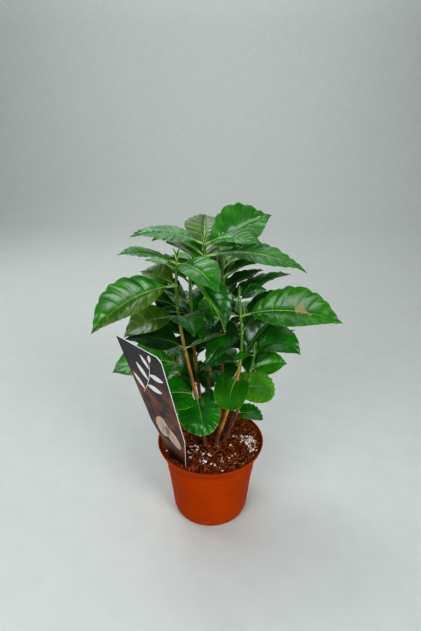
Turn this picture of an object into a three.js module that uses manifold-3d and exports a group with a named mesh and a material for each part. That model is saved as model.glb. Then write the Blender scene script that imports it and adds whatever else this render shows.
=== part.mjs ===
// A potted coffee plant: a clump of young seedlings in a round nursery pot of soil, with a plant card.
// Millimetres, +Z up, +X to the right and -Y to the front, origin at the centre of the pot's flat underside.
// Each seedling is a brown stem, a pair of round seed leaves, a bare green shoot and a mass of long leaves.

import * as THREE from 'three';
import { mergeVertices } from 'three/addons/utils/BufferGeometryUtils.js';
import Module from 'manifold-3d';

const wasm = await Module();
wasm.setup();

// Driving dimensions.
const CLEARANCE = 0.3;
const MERGE_WITHIN = 1e-4;
const ROUND_STEPS = 40;

const POT = {
  rimRadius: 60,
  height: 93,
  bandRadius: 52.4,
  bandTop: 80,
  bandBulge: 71.5,
  bandBottom: 58.5,
  shoulderRadius: 49.2,
  heelRadius: 43.6,
  heelHeight: 6,
  baseRadius: 38.5,
  heelTurn: [0.75, 0.3],
  flareBulge: [2.1, 1.1],
  ridge: 0.9,
  wall: 1.5,
};

const SOIL_TOP = 88;

const CARD = {
  thickness: 0.8,
  topWidth: 65,
  waistWidth: 53,
  soilWidth: 22,
  pointWidth: 6,
  top: 162,
  waist: 51,
  point: -28,
  cornerCut: 4.5,
  heading: -45.5,
  lean: 15.5,
  foot: [-34.2, -34.6],
};

// A seedling's stem: its radius at the soil and at the tip, and the root flare just above the soil.
const STEM = { footRadius: 2.2, tipRadius: 1.4, flare: 0.4, flareHeight: 4, sides: 7, ringEvery: 14 };

// How far the stem that belongs to a mass of leaves reaches past its lowest pair of leaves.
const NODE_REACH = 6;

// A leaf's outline: where the blade starts on the petiole, how far out it is widest, and how its tip is
// drawn out. Stations are the shares of its length at which its outline has a corner.
const OUTLINE = { bladeStart: 0.1, lean: 0.92, taper: 0.6, taperPower: 8, petioleWidth: 2.4, tipWidth: 0.8 };
const LEAF_STATIONS = [0, 0.1, 0.26, 0.46, 0.68, 0.87, 1];
const BUD_STATIONS = [0, 0.1, 0.5, 1];
const MIDRIB_STEPS = 24;
const THICKNESS = { least: 0.3, share: 0.013 };

// The rule for a long leaf: its length inward and outward of the crown, its width as a share of that, and
// the angles of its midrib and of its two halves, with how far each is drawn at random.
const LEAF_RULE = {
  inward: 45,
  outward: 95,
  lengthSpread: 0.16,
  widthShare: 0.44,
  rise: 32,
  riseSpread: 8,
  droop: 58,
  droopSpread: 16,
  sweepSpread: 16,
  fold: 14,
};
const CROWN_CENTRE = [0, 8];
const FLAT_LEAF = { roll: 0, sweep: 0, lobe: 0, round: false, stations: LEAF_STATIONS };
const SEED_LEAF = { length: 38, width: 37, rise: 12, droop: 40, fold: 6, lobe: 0.2, round: true };
const BUD_LEAF = { length: 14, width: 4, rise: 84, droop: 20, fold: 20, stations: BUD_STATIONS };
const BUD_SUNK = 2;

const RANDOM = { firstSeed: 1000, factor: 1664525, step: 1013904223, range: 2 ** 32 };

const FINISH = {
  pot: { color: 0xb4480f, roughness: 0.5 },
  soil: { color: 0x3c2318, roughness: 0.95 },
  card: { color: 0x2b2624, roughness: 0.4 },
  bark: { color: 0x9a6b3d, roughness: 0.8 },
  shoot: { color: 0x5f8f2c, roughness: 0.6 },
  leaf: { color: 0x1f6b22, roughness: 0.35 },
  seedLeaf: { color: 0x2f8a26, roughness: 0.35 },
};

const radians = THREE.MathUtils.degToRad;

// Seeded draws from 0 to 1, so that the leaves that the rule places come out alike on every run.
function makeDraw(seed) {
  let state = seed;
  return () => {
    state = (Math.imul(state, RANDOM.factor) + RANDOM.step) >>> 0;
    return state / RANDOM.range;
  };
}

// One pair of opposite leaves: its height on the stem, the heading of its first leaf, and what differs
// from the rule on either leaf. A leaf given as null has been shed.
const pair = (height, heading, first = {}, second = {}) => ({ height, heading, first, second });

const SEEDLINGS = [
  {
    name: 'left',
    foot: [-6, -8],
    tip: [-31.5, -10, 308],
    bow: [-7, 0],
    peak: 2,
    seedLeaves: pair(
      156, 284,
      { length: 48, width: 46, rise: -5, droop: 44, roll: 26, lobe: 0.44 },
      { heading: 193, length: 44, width: 42, rise: 27, droop: 40, roll: -30, lobe: 0.3 },
    ),
    pairs: [
      pair(
        213, 192,
        { rise: 40, droop: 50, length: 64, width: 42, roll: -20 },
        { heading: 352, rise: 30, droop: 10, length: 47, width: 17 },
      ),
      pair(
        247, 290,
        { rise: 36, droop: 60, length: 60, width: 36 },
        { heading: 196, rise: 16, droop: 60, length: 60, width: 36, roll: -25 },
      ),
      pair(258, 168, { rise: 35, droop: 50, length: 42, width: 24 }, null),
      pair(
        281, 214,
        { rise: 10, droop: 55, length: 97, width: 42, roll: -38, fold: 28 },
        { heading: 155, rise: 28, droop: 30, length: 42, width: 32, roll: -15 },
      ),
      pair(
        303, 197,
        { rise: 36, droop: 42, length: 58, width: 32, roll: -4, fold: 6 },
        { heading: 309, rise: 20, droop: 60, length: 68, width: 36, roll: 10 },
      ),
      pair(269, 120, { rise: 35, droop: 50, length: 40, width: 24 }, null),
    ],
  },
  {
    name: 'middle',
    foot: [1, 3],
    tip: [-6, 5, 321],
    bow: [0, 0],
    peak: 1,
    seedLeaves: pair(154, 106, { length: 30, width: 20, rise: 50, droop: 50 }, null),
    pairs: [
      pair(178, 296, { rise: 25, droop: 50, length: 38 }, { heading: 240, length: 26 }),
      pair(205, 172, { rise: 25, droop: 50, length: 52, width: 27 }, { heading: 8, length: 38, width: 24 }),
      pair(238, 262, { rise: 20, droop: 60, length: 40 }, { heading: 325, length: 44, rise: 10, droop: 50 }),
      pair(262, 284, { rise: 20, droop: 90, length: 42, width: 26 }, null),
      pair(
        285, 250,
        { rise: 15, droop: 95, length: 78, width: 38, fold: 45, sweep: 100 },
        { heading: 92, length: 64 },
      ),
      pair(
        306, 346,
        { rise: 20, droop: 48, length: 102, width: 40, roll: 10, fold: 4 },
        { heading: 142, length: 74, width: 36, rise: 34, droop: 60 },
      ),
      pair(
        312, 92,
        { rise: 38, droop: 30, length: 62, width: 42 },
        { heading: 26, rise: 33, droop: 24, length: 80, width: 50, roll: 36 },
      ),
      pair(
        318, 188,
        { rise: 32, droop: 48, length: 73, width: 40, roll: -8, fold: 3 },
        { heading: 336, rise: 34, droop: 60, length: 64, width: 32, roll: 8, fold: 4 },
      ),
      pair(296, 132, { rise: 35, droop: 50, length: 70, width: 34 }, null),
      pair(288, 96, { rise: 35, droop: 50, length: 76, width: 38 }, null),
    ],
  },
  {
    name: 'right',
    foot: [6, -7],
    tip: [28, -5, 268],
    bow: [12, 1],
    peak: 1.2,
    seedLeaves: pair(173, 252, { length: 42, width: 36, rise: 24, droop: 105, lobe: 0.3 }, null),
    pairs: [
      pair(
        194, 190,
        { length: 46, rise: 30, droop: 70, width: 28 },
        { heading: 32, length: 88, rise: 58, droop: 50, width: 38, roll: 40 },
      ),
      pair(
        228, 215,
        { length: 52, rise: 0, droop: 60, width: 34 },
        { heading: 35, rise: 52, droop: 40, length: 68 },
      ),
      pair(
        247, 337,
        { rise: 27, droop: 45, length: 102, width: 48, roll: 40, fold: 24 },
        { heading: 171, rise: 16, length: 34 },
      ),
      pair(264, 348, { rise: 50, droop: 50, length: 31, width: 20, roll: 25 }, { heading: 168, length: 24 }),
    ],
  },
  {
    name: 'back',
    foot: [10, 9],
    tip: [12, 30, 294],
    bow: [2, 2],
    peak: 1,
    seedLeaves: pair(156, 88, { rise: 45, droop: 50 }, null),
    pairs: [
      pair(185, 300, { length: 24, width: 12 }, { heading: 110, length: 54 }),
      pair(215, 93, { length: 88 }, { heading: 285, length: 36 }),
      pair(245, 15, { rise: 38, droop: 30, length: 82, width: 34 }, { heading: 100, length: 80 }),
      pair(262, 22, { rise: 34, droop: 30, length: 52, width: 26 }, null),
      pair(276, 24, { rise: 35, droop: 50, length: 76, width: 38 }, null),
      pair(285, 75, { length: 90 }, { heading: 40, length: 80 }),
      pair(269, 72, { rise: 35, droop: 50, length: 76, width: 38 }, null),
      pair(213, 0, { rise: 60, droop: 60, length: 40, width: 24 }, null),
      pair(248, 72, { rise: 60, droop: 60, length: 40, width: 24 }, null),
    ],
  },
  {
    name: 'back_left',
    foot: [-5, 12],
    tip: [-22, 34, 282],
    bow: [-4, 3],
    peak: 1,
    seedLeaves: pair(150, 122, { rise: 45, droop: 50 }, null),
    pairs: [
      pair(180, 105, { length: 60 }, { heading: 48, rise: 60, droop: 60, length: 72, width: 36 }),
      pair(205, 172, { length: 76 }, { heading: 118, length: 85 }),
      pair(212, 72, { rise: 60, droop: 60, length: 76, width: 38 }, null),
      pair(232, 185, { length: 46 }, { heading: 122, length: 82 }),
      pair(262, 60, { length: 50 }, null),
      pair(268, 138, { rise: 35, droop: 50, length: 74, width: 36 }, null),
      pair(278, 116, { length: 60 }, { heading: 190, length: 50 }),
      pair(280, 238, { rise: 52, droop: 40, length: 50, width: 30 }, null),
      pair(200, 144, { rise: 60, droop: 60, length: 76, width: 38 }, null),
      pair(245, 150, { rise: 30, droop: 50, length: 70, width: 36 }, null),
    ],
  },
  {
    name: 'far_left',
    foot: [-13, 1],
    tip: [-36, 8, 190],
    bow: [-4, 0],
    peak: 1,
    seedLeaves: pair(130, 175, { length: 40, width: 38 }, null),
    pairs: [
      pair(159, 96, { rise: 35, droop: 50, length: 76, width: 38 }, null),
      pair(173, 142, { length: 56 }, null),
      pair(
        185, 178,
        { rise: 20, droop: 58, length: 76, width: 42, roll: -30 },
        { heading: 252, length: 42, width: 28 },
      ),
    ],
  },
  {
    name: 'far_right',
    foot: [15, -1],
    tip: [46, -8, 208],
    bow: [4, 0],
    peak: 1,
    seedLeaves: pair(130, 355, { rise: 10, length: 30, width: 30 }, null),
    pairs: [
      pair(173, 72, { rise: 60, droop: 60, length: 56, width: 32 }, null),
      pair(
        186, 350,
        { rise: 40, droop: 50, length: 40, width: 30, roll: 35 },
        { heading: 30, rise: 62, droop: 60, length: 68, width: 34 },
      ),
      pair(
        204, 335,
        { rise: 75, droop: 125, length: 60, width: 40, roll: 20 },
        { heading: 215, length: 30, width: 13 },
      ),
    ],
  },
  {
    name: 'back_right',
    foot: [20, 9],
    tip: [38, 36, 216],
    bow: [2, 0],
    peak: 1,
    seedLeaves: pair(145, 10, { length: 46, width: 46, roll: 25 }, { heading: 95, length: 36, width: 36 }),
    pairs: [
      pair(172, 125, { rise: 10, droop: 50, length: 70, width: 36 }, null),
      pair(185, 55, { length: 80 }, { heading: 105, length: 75 }),
      pair(212, 10, { length: 75, roll: 20 }, { heading: 85, length: 80 }),
      pair(196, 40, { rise: 40, droop: 50, length: 60, width: 32 }, null),
    ],
  },
];

// A closed solid of a geometry: shared corners merged, flat triangles dropped, faces pointing out.
function solid(geometry) {
  const bare = geometry.clone();
  bare.deleteAttribute('normal');
  bare.deleteAttribute('uv');
  const merged = mergeVertices(bare, MERGE_WITHIN);
  const place = merged.attributes.position;
  const corners = Array.from(merged.index.array);
  const faces = [];
  let volume = 0;
  const [a, b, c] = [new THREE.Vector3(), new THREE.Vector3(), new THREE.Vector3()];
  for (let i = 0; i < corners.length; i += 3) {
    const face = corners.slice(i, i + 3);
    if (new Set(face).size < 3) continue;
    faces.push(face);
    a.fromBufferAttribute(place, face[0]);
    b.fromBufferAttribute(place, face[1]);
    c.fromBufferAttribute(place, face[2]);
    volume += a.dot(b.cross(c));
  }
  if (volume < 0) faces.forEach((face) => face.reverse());
  const mesh = new wasm.Mesh({
    numProp: 3,
    vertProperties: new Float32Array(place.array),
    triVerts: new Uint32Array(faces.flat()),
  });
  return new wasm.Manifold(mesh);
}

// A named mesh of a solid, in its own finish.
function part(name, body, finish) {
  const { vertProperties, triVerts } = body.getMesh();
  const geometry = new THREE.BufferGeometry();
  geometry.setAttribute('position', new THREE.BufferAttribute(new Float32Array(vertProperties), 3));
  geometry.setIndex(new THREE.BufferAttribute(new Uint32Array(triVerts), 1));
  geometry.computeVertexNormals();
  const mesh = new THREE.Mesh(geometry, new THREE.MeshStandardMaterial({ ...finish, metalness: 0 }));
  mesh.name = name;
  return mesh;
}

// A solid turned about the Z axis from pairs of radius and height that start and end on the axis.
function turned(outline) {
  const points = outline.map(([radius, height]) => new THREE.Vector2(radius, height));
  return solid(new THREE.LatheGeometry(points, ROUND_STEPS).rotateX(Math.PI / 2));
}

// The pot's wall from the heel to the lip, as radius and height, moved in by an inset.
function potWall(inset) {
  const p = POT;
  return [
    [p.heelRadius, p.heelHeight],
    [p.shoulderRadius, p.bandBottom - p.ridge],
    [p.shoulderRadius + p.ridge, p.bandBottom],
    [p.bandRadius - p.ridge, p.bandBulge],
    [p.bandRadius, p.bandTop],
    [(p.bandRadius + p.rimRadius) / 2 + p.flareBulge[0], (p.bandTop + p.height) / 2 + p.flareBulge[1]],
    [p.rimRadius, p.height - p.wall],
  ].map(([radius, height]) => [radius - inset, height]);
}

function makePot() {
  const p = POT;
  const heel = [
    THREE.MathUtils.lerp(p.baseRadius, p.heelRadius, p.heelTurn[0]),
    p.heelHeight * p.heelTurn[1],
  ];
  const outside = [[0, 0], [p.baseRadius, 0], heel, ...potWall(0), [p.rimRadius, p.height]];
  const inside = [[p.rimRadius - p.wall, p.height], ...potWall(p.wall).reverse()];
  const floor = [[p.baseRadius, p.wall], [0, p.wall]];
  return turned([...outside, ...inside, ...floor]);
}

// The soil fills the pot up to its flat top, clear of the wall all round and of the card's stake.
function makeSoil() {
  const p = POT;
  const inset = p.wall + CLEARANCE;
  const wall = potWall(inset);
  const over = wall.findIndex(([, height]) => height > SOIL_TOP);
  const [[low, lowHeight], [high, highHeight]] = [wall[over - 1], wall[over]];
  const edge = THREE.MathUtils.mapLinear(SOIL_TOP, lowHeight, highHeight, low, high);
  const top = [[edge, SOIL_TOP], [0, SOIL_TOP]];
  const outline = [[0, inset], [p.baseRadius - inset, inset], ...wall.slice(0, over), ...top];
  return turned(outline).subtract(makeCard(CLEARANCE));
}

// The card stands on the soil by a tapering stake and leans out over the rim. Grown by a margin on every
// side, it is also the slot that the soil leaves for it.
function makeCard(margin) {
  const c = CARD;
  const half = (width) => width / 2 + margin;
  const shape = new THREE.Shape();
  shape.moveTo(-half(c.pointWidth), c.point - margin);
  shape.lineTo(half(c.pointWidth), c.point - margin);
  shape.lineTo(half(c.soilWidth), 0);
  shape.lineTo(half(c.waistWidth), c.waist);
  shape.lineTo(half(c.topWidth), c.top - c.cornerCut);
  shape.lineTo(half(c.topWidth) - c.cornerCut, c.top);
  shape.lineTo(-half(c.topWidth), c.top);
  shape.lineTo(-half(c.waistWidth), c.waist);
  shape.lineTo(-half(c.soilWidth), 0);
  const depth = c.thickness + 2 * margin;
  const card = new THREE.ExtrudeGeometry(shape, { depth, bevelEnabled: false });
  card.translate(0, 0, -depth / 2);
  card.rotateX(radians(90 + c.lean));
  card.rotateZ(radians(c.heading));
  card.translate(c.foot[0], c.foot[1], SOIL_TOP);
  return solid(card);
}

// The centre of a seedling's stem at a height.
function stemCentre(seedling, height) {
  const { foot, tip, bow, peak } = seedling;
  const share = (height - SOIL_TOP) / (tip[2] - SOIL_TOP);
  const swing = Math.sin(Math.PI * share ** peak);
  const along = (axis) => foot[axis] + (tip[axis] - foot[axis]) * share + bow[axis] * swing;
  return new THREE.Vector3(along(0), along(1), height);
}

// The stem's radius at a height: an even taper, with a root flare just above the soil.
function stemRadius(seedling, height) {
  const share = (height - SOIL_TOP) / (seedling.tip[2] - SOIL_TOP);
  const rise = (height - SOIL_TOP) / STEM.flareHeight;
  return THREE.MathUtils.lerp(STEM.footRadius, STEM.tipRadius, share) * (1 + STEM.flare * Math.exp(-rise));
}

// A stretch of a seedling's stem between two heights, cut flat at both ends.
function limb(seedling, bottom, top) {
  const rings = Math.max(2, Math.round((top - bottom) / STEM.ringEvery));
  const rod = new THREE.CylinderGeometry(1, 1, 1, STEM.sides, rings).rotateX(Math.PI / 2);
  const place = rod.attributes.position;
  for (let i = 0; i < place.count; i += 1) {
    const height = THREE.MathUtils.lerp(bottom, top, place.getZ(i) + 0.5);
    const centre = stemCentre(seedling, height);
    const radius = stemRadius(seedling, height);
    place.setXYZ(i, centre.x + radius * place.getX(i), centre.y + radius * place.getY(i), height);
  }
  return solid(rod);
}

// The midrib's direction at a share of its length: it leaves the stem at its rise and bends down evenly.
function midribDirection(leaf, share) {
  const pitch = radians(leaf.rise - leaf.droop * share);
  const yaw = radians(leaf.heading + leaf.sweep * share);
  return new THREE.Vector3(Math.cos(pitch) * Math.cos(yaw), Math.cos(pitch) * Math.sin(yaw), Math.sin(pitch));
}

function midribPoint(leaf, share) {
  const point = leaf.root.clone();
  for (let i = 0; i < MIDRIB_STEPS; i += 1) {
    const direction = midribDirection(leaf, (share * (i + 0.5)) / MIDRIB_STEPS);
    point.addScaledVector(direction, (share * leaf.length) / MIDRIB_STEPS);
  }
  return point;
}

// Half the leaf's width at a share of its length: a petiole, then a blade with a drawn-out tip, or a
// nearly round blade on a seed leaf.
function halfWidth(leaf, share) {
  const o = OUTLINE;
  const blade = Math.max(0, (share - o.bladeStart) / (1 - o.bladeStart));
  const long = Math.sin(Math.PI * blade ** o.lean) * (1 - o.taper * blade ** o.taperPower);
  const round = Math.sqrt(Math.max(0, 1 - (2 * blade - 1) ** 2));
  const least = share < 0.5 ? o.petioleWidth : o.tipWidth;
  return Math.max(least, leaf.width * (leaf.round ? round : long)) / 2;
}

// One leaf: a box drawn out along the midrib, with its two halves folded up and rolled about it.
function leafSolid(leaf) {
  const segments = leaf.stations.length - 1;
  const box = new THREE.BoxGeometry(2, 1, segments, 2, 1, segments);
  const place = box.attributes.position;
  const thickness = THICKNESS.least + THICKNESS.share * leaf.length;
  for (let i = 0; i < place.count; i += 1) {
    const side = place.getX(i);
    const share = leaf.stations[Math.round(place.getZ(i) + segments / 2)];
    const ahead = midribDirection(leaf, share);
    const yaw = radians(leaf.heading + leaf.sweep * share);
    const across = new THREE.Vector3(Math.sin(yaw), -Math.cos(yaw), 0);
    across.applyAxisAngle(ahead, radians(leaf.roll));
    const above = new THREE.Vector3().crossVectors(across, ahead);
    const opened = share > OUTLINE.bladeStart && share < 1 ? radians(leaf.fold) : 0;
    const width = halfWidth(leaf, share);
    const lobed = opened ? leaf.lobe * leaf.width * (1 - share) ** 2 : 0;
    const point = midribPoint(leaf, share);
    point.addScaledVector(ahead, -Math.abs(side) * lobed);
    point.addScaledVector(across, side * width * Math.cos(opened));
    point.addScaledVector(above, Math.abs(side) * width * Math.sin(opened) + place.getY(i) * thickness);
    place.setXYZ(i, point.x, point.y, point.z);
  }
  return solid(box);
}

// The rule for a leaf that nothing else is stated for: long outward of the crown, short inward, and
// arching over under its own weight, with a small seeded difference from leaf to leaf.
function ruledLeaf(seedling, height, heading, own, draw) {
  const outward = Math.atan2(seedling.tip[1] - CROWN_CENTRE[1], seedling.tip[0] - CROWN_CENTRE[0]);
  const facing = (1 + Math.cos(radians(own.heading ?? heading) - outward)) / 2;
  const rule = LEAF_RULE;
  const spread = (range) => range * (draw() - 0.5);
  const length = own.length
    ?? THREE.MathUtils.lerp(rule.inward, rule.outward, facing) * (1 + spread(rule.lengthSpread));
  return {
    ...FLAT_LEAF,
    root: stemCentre(seedling, height),
    heading,
    length,
    width: length * rule.widthShare,
    rise: rule.rise + spread(rule.riseSpread),
    droop: rule.droop + spread(rule.droopSpread),
    fold: rule.fold,
    sweep: spread(rule.sweepSpread),
    ...own,
  };
}

function ruledSeedLeaf(seedling, height, heading, own) {
  const root = stemCentre(seedling, height);
  return { ...FLAT_LEAF, ...SEED_LEAF, root, heading, ...own };
}

// The bud at a stem's tip: two small leaves that stand almost upright, across the last pair.
function budLeaves(seedling) {
  const heading = seedling.pairs.at(-1).heading + 90;
  const root = stemCentre(seedling, seedling.tip[2] - BUD_SUNK);
  return [0, 180].map((turn) => ({ ...FLAT_LEAF, ...BUD_LEAF, root, heading: heading + turn }));
}

// The leaves of a seedling's pairs, in order, each with its second leaf opposite unless stated.
function leavesOf(seedling, pairs, rule, draw) {
  return pairs.flatMap(({ height, heading, first, second }) => [
    first && rule(seedling, height, heading, first, draw),
    second && rule(seedling, height, heading + 180, second, draw),
  ]).filter(Boolean);
}

// A mass of foliage: the stretch of stem that carries it, with its leaves sunk in and fused on.
function mass(seedling, bottom, top, leaves) {
  return wasm.Manifold.union([limb(seedling, bottom, top), ...leaves.map(leafSolid)]);
}

function makeSeedling(seedling, index) {
  const draw = makeDraw(RANDOM.firstSeed + index);
  const { name, tip, pairs, seedLeaves } = seedling;
  const crownFoot = pairs[0].height - NODE_REACH;
  const foliage = mass(seedling, crownFoot, tip[2], [
    ...leavesOf(seedling, pairs, ruledLeaf, draw),
    ...budLeaves(seedling),
  ]);
  const under = seedLeaves.height - NODE_REACH;
  const over = seedLeaves.height + NODE_REACH;
  const seedMass = mass(seedling, under, over, leavesOf(seedling, [seedLeaves], ruledSeedLeaf, draw));
  return [
    part(`stem_${name}`, limb(seedling, SOIL_TOP + CLEARANCE, under - CLEARANCE), FINISH.bark),
    part(`seed_leaves_${name}`, seedMass, FINISH.seedLeaf),
    part(`shoot_${name}`, limb(seedling, over + CLEARANCE, crownFoot - CLEARANCE), FINISH.shoot),
    part(`foliage_${name}`, foliage, FINISH.leaf),
  ];
}

const plant = new THREE.Group();
plant.add(part('pot', makePot(), FINISH.pot));
plant.add(part('soil', makeSoil(), FINISH.soil));
plant.add(part('card', makeCard(0), FINISH.card));
SEEDLINGS.flatMap(makeSeedling).forEach((mesh) => plant.add(mesh));

export default plant;
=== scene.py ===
"""Potted coffee plant: eight seedlings with glossy, quilted leaves in a plastic nursery pot.

Sizes are in millimetres and angles in degrees. They become metres where a mesh is made. The leaves grow by
the same rule and from the same seeded draws as the solids that they stand for, and are carried further:
side veins, quilting between them, waved margins, petioles, stipules and buds.
"""

import logging
import math
import random
from dataclasses import dataclass, field
from enum import Enum
from typing import Any, Iterable, Iterator, Sequence

import bpy
import numpy as np
from mathutils import Euler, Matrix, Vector, noise


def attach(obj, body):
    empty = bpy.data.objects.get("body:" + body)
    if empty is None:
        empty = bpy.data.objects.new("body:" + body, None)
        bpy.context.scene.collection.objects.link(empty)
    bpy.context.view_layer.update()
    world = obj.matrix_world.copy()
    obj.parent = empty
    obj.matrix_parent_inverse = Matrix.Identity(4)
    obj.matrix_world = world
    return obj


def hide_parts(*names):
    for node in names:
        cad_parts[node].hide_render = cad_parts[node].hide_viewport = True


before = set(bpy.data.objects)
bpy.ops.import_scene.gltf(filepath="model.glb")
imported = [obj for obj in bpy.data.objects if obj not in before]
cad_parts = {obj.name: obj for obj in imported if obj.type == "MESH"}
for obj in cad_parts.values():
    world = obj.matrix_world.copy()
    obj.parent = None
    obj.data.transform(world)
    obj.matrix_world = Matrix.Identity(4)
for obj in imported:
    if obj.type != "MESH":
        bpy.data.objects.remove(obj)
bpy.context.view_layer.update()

MM = 0.001
BODY = "root"
BAKE_LAYER = "OFBake"
UV_MARGIN = 0.04
SAME_POINT = 1e-8
SMALLEST = 1e-9
SHORTEST = 1e-12
SOIL_TOP = 88.0
FULL_TURN = 2 * np.pi

Colour = tuple[float, float, float]
log = logging.getLogger("coffee_plant")


def srgb(red: int, green: int, blue: int) -> Colour:
    """Turn a screen colour into the linear colour that a shader works in.

    Args:
        red: Red from 0 to 255.
        green: Green from 0 to 255.
        blue: Blue from 0 to 255.

    Returns:
        The same colour in linear light, from 0 to 1.
    """
    parts = [value / 255 for value in (red, green, blue)]
    return tuple(part / 12.92 if part <= 0.04045 else ((part + 0.055) / 1.055) ** 2.4 for part in parts)


def blend(first: np.ndarray | float, second: np.ndarray | float, share: np.ndarray | float) -> Any:
    """Return the value at a share of the way from the first to the second."""
    return first + (second - first) * share


def smooth(low: float, high: float, value: np.ndarray | float) -> Any:
    """Return a smooth rise from 0 at the low value to 1 at the high one."""
    share = np.clip((value - low) / (high - low), 0, 1)
    return share * share * (3 - 2 * share)


def turns(steps: int) -> np.ndarray:
    """Return evenly spaced angles round a full turn."""
    return np.linspace(0, FULL_TURN, steps, endpoint=False)


def disc(rings: int, steps: int) -> tuple[np.ndarray, np.ndarray]:
    """Return shares of the radius and angles of points over a disc, by ring and step."""
    return np.meshgrid(np.linspace(0, 1, rings), turns(steps), indexing="ij")


class Value:
    """A socket that carries one number. Python's operators on it add Math nodes."""

    def __init__(self, shader: "Shader", socket: bpy.types.NodeSocket) -> None:
        """Wrap a socket of a shader's tree."""
        self.shader = shader
        self.socket = socket

    def _math(self, operation: str, first: Any, second: Any) -> "Value":
        """Add a Math node on two values and wrap its result."""
        made = self.shader.node("ShaderNodeMath", {"operation": operation}, {0: first, 1: second})
        return Value(self.shader, made.outputs[0])

    def __add__(self, other: "Value | float") -> "Value":
        """Add another value or a number."""
        return self._math("ADD", self, other)

    __radd__ = __add__

    def __mul__(self, other: "Value | float") -> "Value":
        """Multiply by another value or a number."""
        return self._math("MULTIPLY", self, other)

    __rmul__ = __mul__

    def __sub__(self, other: "Value | float") -> "Value":
        """Subtract another value or a number."""
        return self._math("SUBTRACT", self, other)

    def __rsub__(self, other: float) -> "Value":
        """Subtract this value from a number."""
        return self._math("SUBTRACT", other, self)

    def within(self, low: float, high: float) -> "Value":
        """Return a smooth rise from 0 at the low value to 1 at the high one.

        Args:
            low: Where the rise starts.
            high: Where it ends.

        Returns:
            The risen value.
        """
        settings = {"interpolation_type": "SMOOTHSTEP"}
        made = self.shader.node("ShaderNodeMapRange", settings, {0: self, 1: low, 2: high})
        return Value(self.shader, made.outputs[0])


class Shader:
    """A material's node tree with one Principled surface."""

    def __init__(self, name: str) -> None:
        """Start an empty tree with its surface and its output.

        Args:
            name: The material's name.
        """
        self.material = bpy.data.materials.new(name)
        self.material.use_nodes = True
        self.tree = self.material.node_tree
        self.tree.nodes.clear()
        self.surface = self.node("ShaderNodeBsdfPrincipled")
        output = self.node("ShaderNodeOutputMaterial")
        self.tree.links.new(self.surface.outputs["BSDF"], output.inputs["Surface"])
        self.place = self.node("ShaderNodeTexCoord").outputs["Object"]

    def node(
        self, kind: str, settings: dict[str, Any] | None = None, inputs: dict[int | str, Any] | None = None
    ) -> bpy.types.Node:
        """Add a node.

        Args:
            kind: The node's type.
            settings: Its settings, which are set before its sockets.
            inputs: Values or links of its sockets, by name or number.

        Returns:
            The new node.
        """
        made = self.tree.nodes.new(kind)
        for name, value in (settings or {}).items():
            setattr(made, name, value)
        for key, value in (inputs or {}).items():
            self.feed(made.inputs[key], value)
        return made

    def feed(self, socket: bpy.types.NodeSocket, value: Any) -> None:
        """Link a value to a socket, or set the socket to a constant."""
        source = value.socket if isinstance(value, Value) else value
        if isinstance(source, bpy.types.NodeSocket):
            self.tree.links.new(source, socket)
        elif isinstance(source, tuple) and len(socket.default_value) == 4:
            socket.default_value = (*source, 1)
        else:
            socket.default_value = source

    def stretched(self, scale: Sequence[float]) -> bpy.types.NodeSocket:
        """Return the object's coordinates, stretched along each axis.

        Args:
            scale: The factor for each axis.

        Returns:
            The stretched coordinates.
        """
        settings = {"operation": "MULTIPLY"}
        return self.node("ShaderNodeVectorMath", settings, {0: self.place, 1: tuple(scale)}).outputs[0]

    def height(self) -> Value:
        """Return the height above the ground in millimetres."""
        parts = self.node("ShaderNodeSeparateXYZ", None, {0: self.place})
        return Value(self, parts.outputs["Z"]) * (1 / MM)

    def noise(self, size: float, detail: float = 3, place: bpy.types.NodeSocket | None = None) -> Value:
        """Add noise with lumps of a size.

        Args:
            size: The lumps' size in millimetres.
            detail: How many finer layers it has.
            place: The coordinates that it reads, or the object's own.

        Returns:
            The noise, from 0 to 1.
        """
        inputs = {"Vector": place or self.place, "Scale": 1 / (size * MM), "Detail": detail}
        return Value(self, self.node("ShaderNodeTexNoise", None, inputs).outputs[0])

    def cells(self, size: float) -> Value:
        """Add the distance to the edges of a net of cells.

        Args:
            size: The cells' size in millimetres.

        Returns:
            The distance, 0 on an edge.
        """
        inputs = {"Vector": self.place, "Scale": 1 / (size * MM)}
        settings = {"feature": "DISTANCE_TO_EDGE"}
        return Value(self, self.node("ShaderNodeTexVoronoi", settings, inputs).outputs[0])

    def mix(self, share: Value | float, first: Any, second: Any) -> bpy.types.NodeSocket:
        """Mix two colours.

        Args:
            share: How much of the second.
            first: A colour or a socket.
            second: A colour or a socket.

        Returns:
            The mixed colour's socket.
        """
        return self.node("ShaderNodeMix", {"data_type": "RGBA"}, {0: share, 6: first, 7: second}).outputs[2]

    def bump(self, height: Value, distance: float) -> None:
        """Raise the surface by a height.

        Args:
            height: The height, from 0 to 1.
            distance: What a height of 1 stands for, in millimetres.
        """
        inputs = {"Height": height, "Distance": distance * MM, "Strength": 1.0}
        made = self.node("ShaderNodeBump", None, inputs)
        self.feed(self.surface.inputs["Normal"], made.outputs[0])

    def finish(self, **sockets: Any) -> bpy.types.Material:
        """Feed the surface's sockets and hand over the material.

        Args:
            **sockets: A value or link for each socket, with _ for a space in its name.

        Returns:
            The finished material.
        """
        for name, value in sockets.items():
            self.feed(self.surface.inputs[name.replace("_", " ")], value)
        return self.material


@dataclass(frozen=True)
class Finish:
    """A finish with its two main colours."""

    name: str
    colour: Colour
    shade: Colour

    def material(self) -> bpy.types.Material:
        """Return this finish's material, made on its first use."""
        return bpy.data.materials.get(self.name) or self.make()

    def make(self) -> bpy.types.Material:
        """Make the material."""
        raise NotImplementedError


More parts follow.
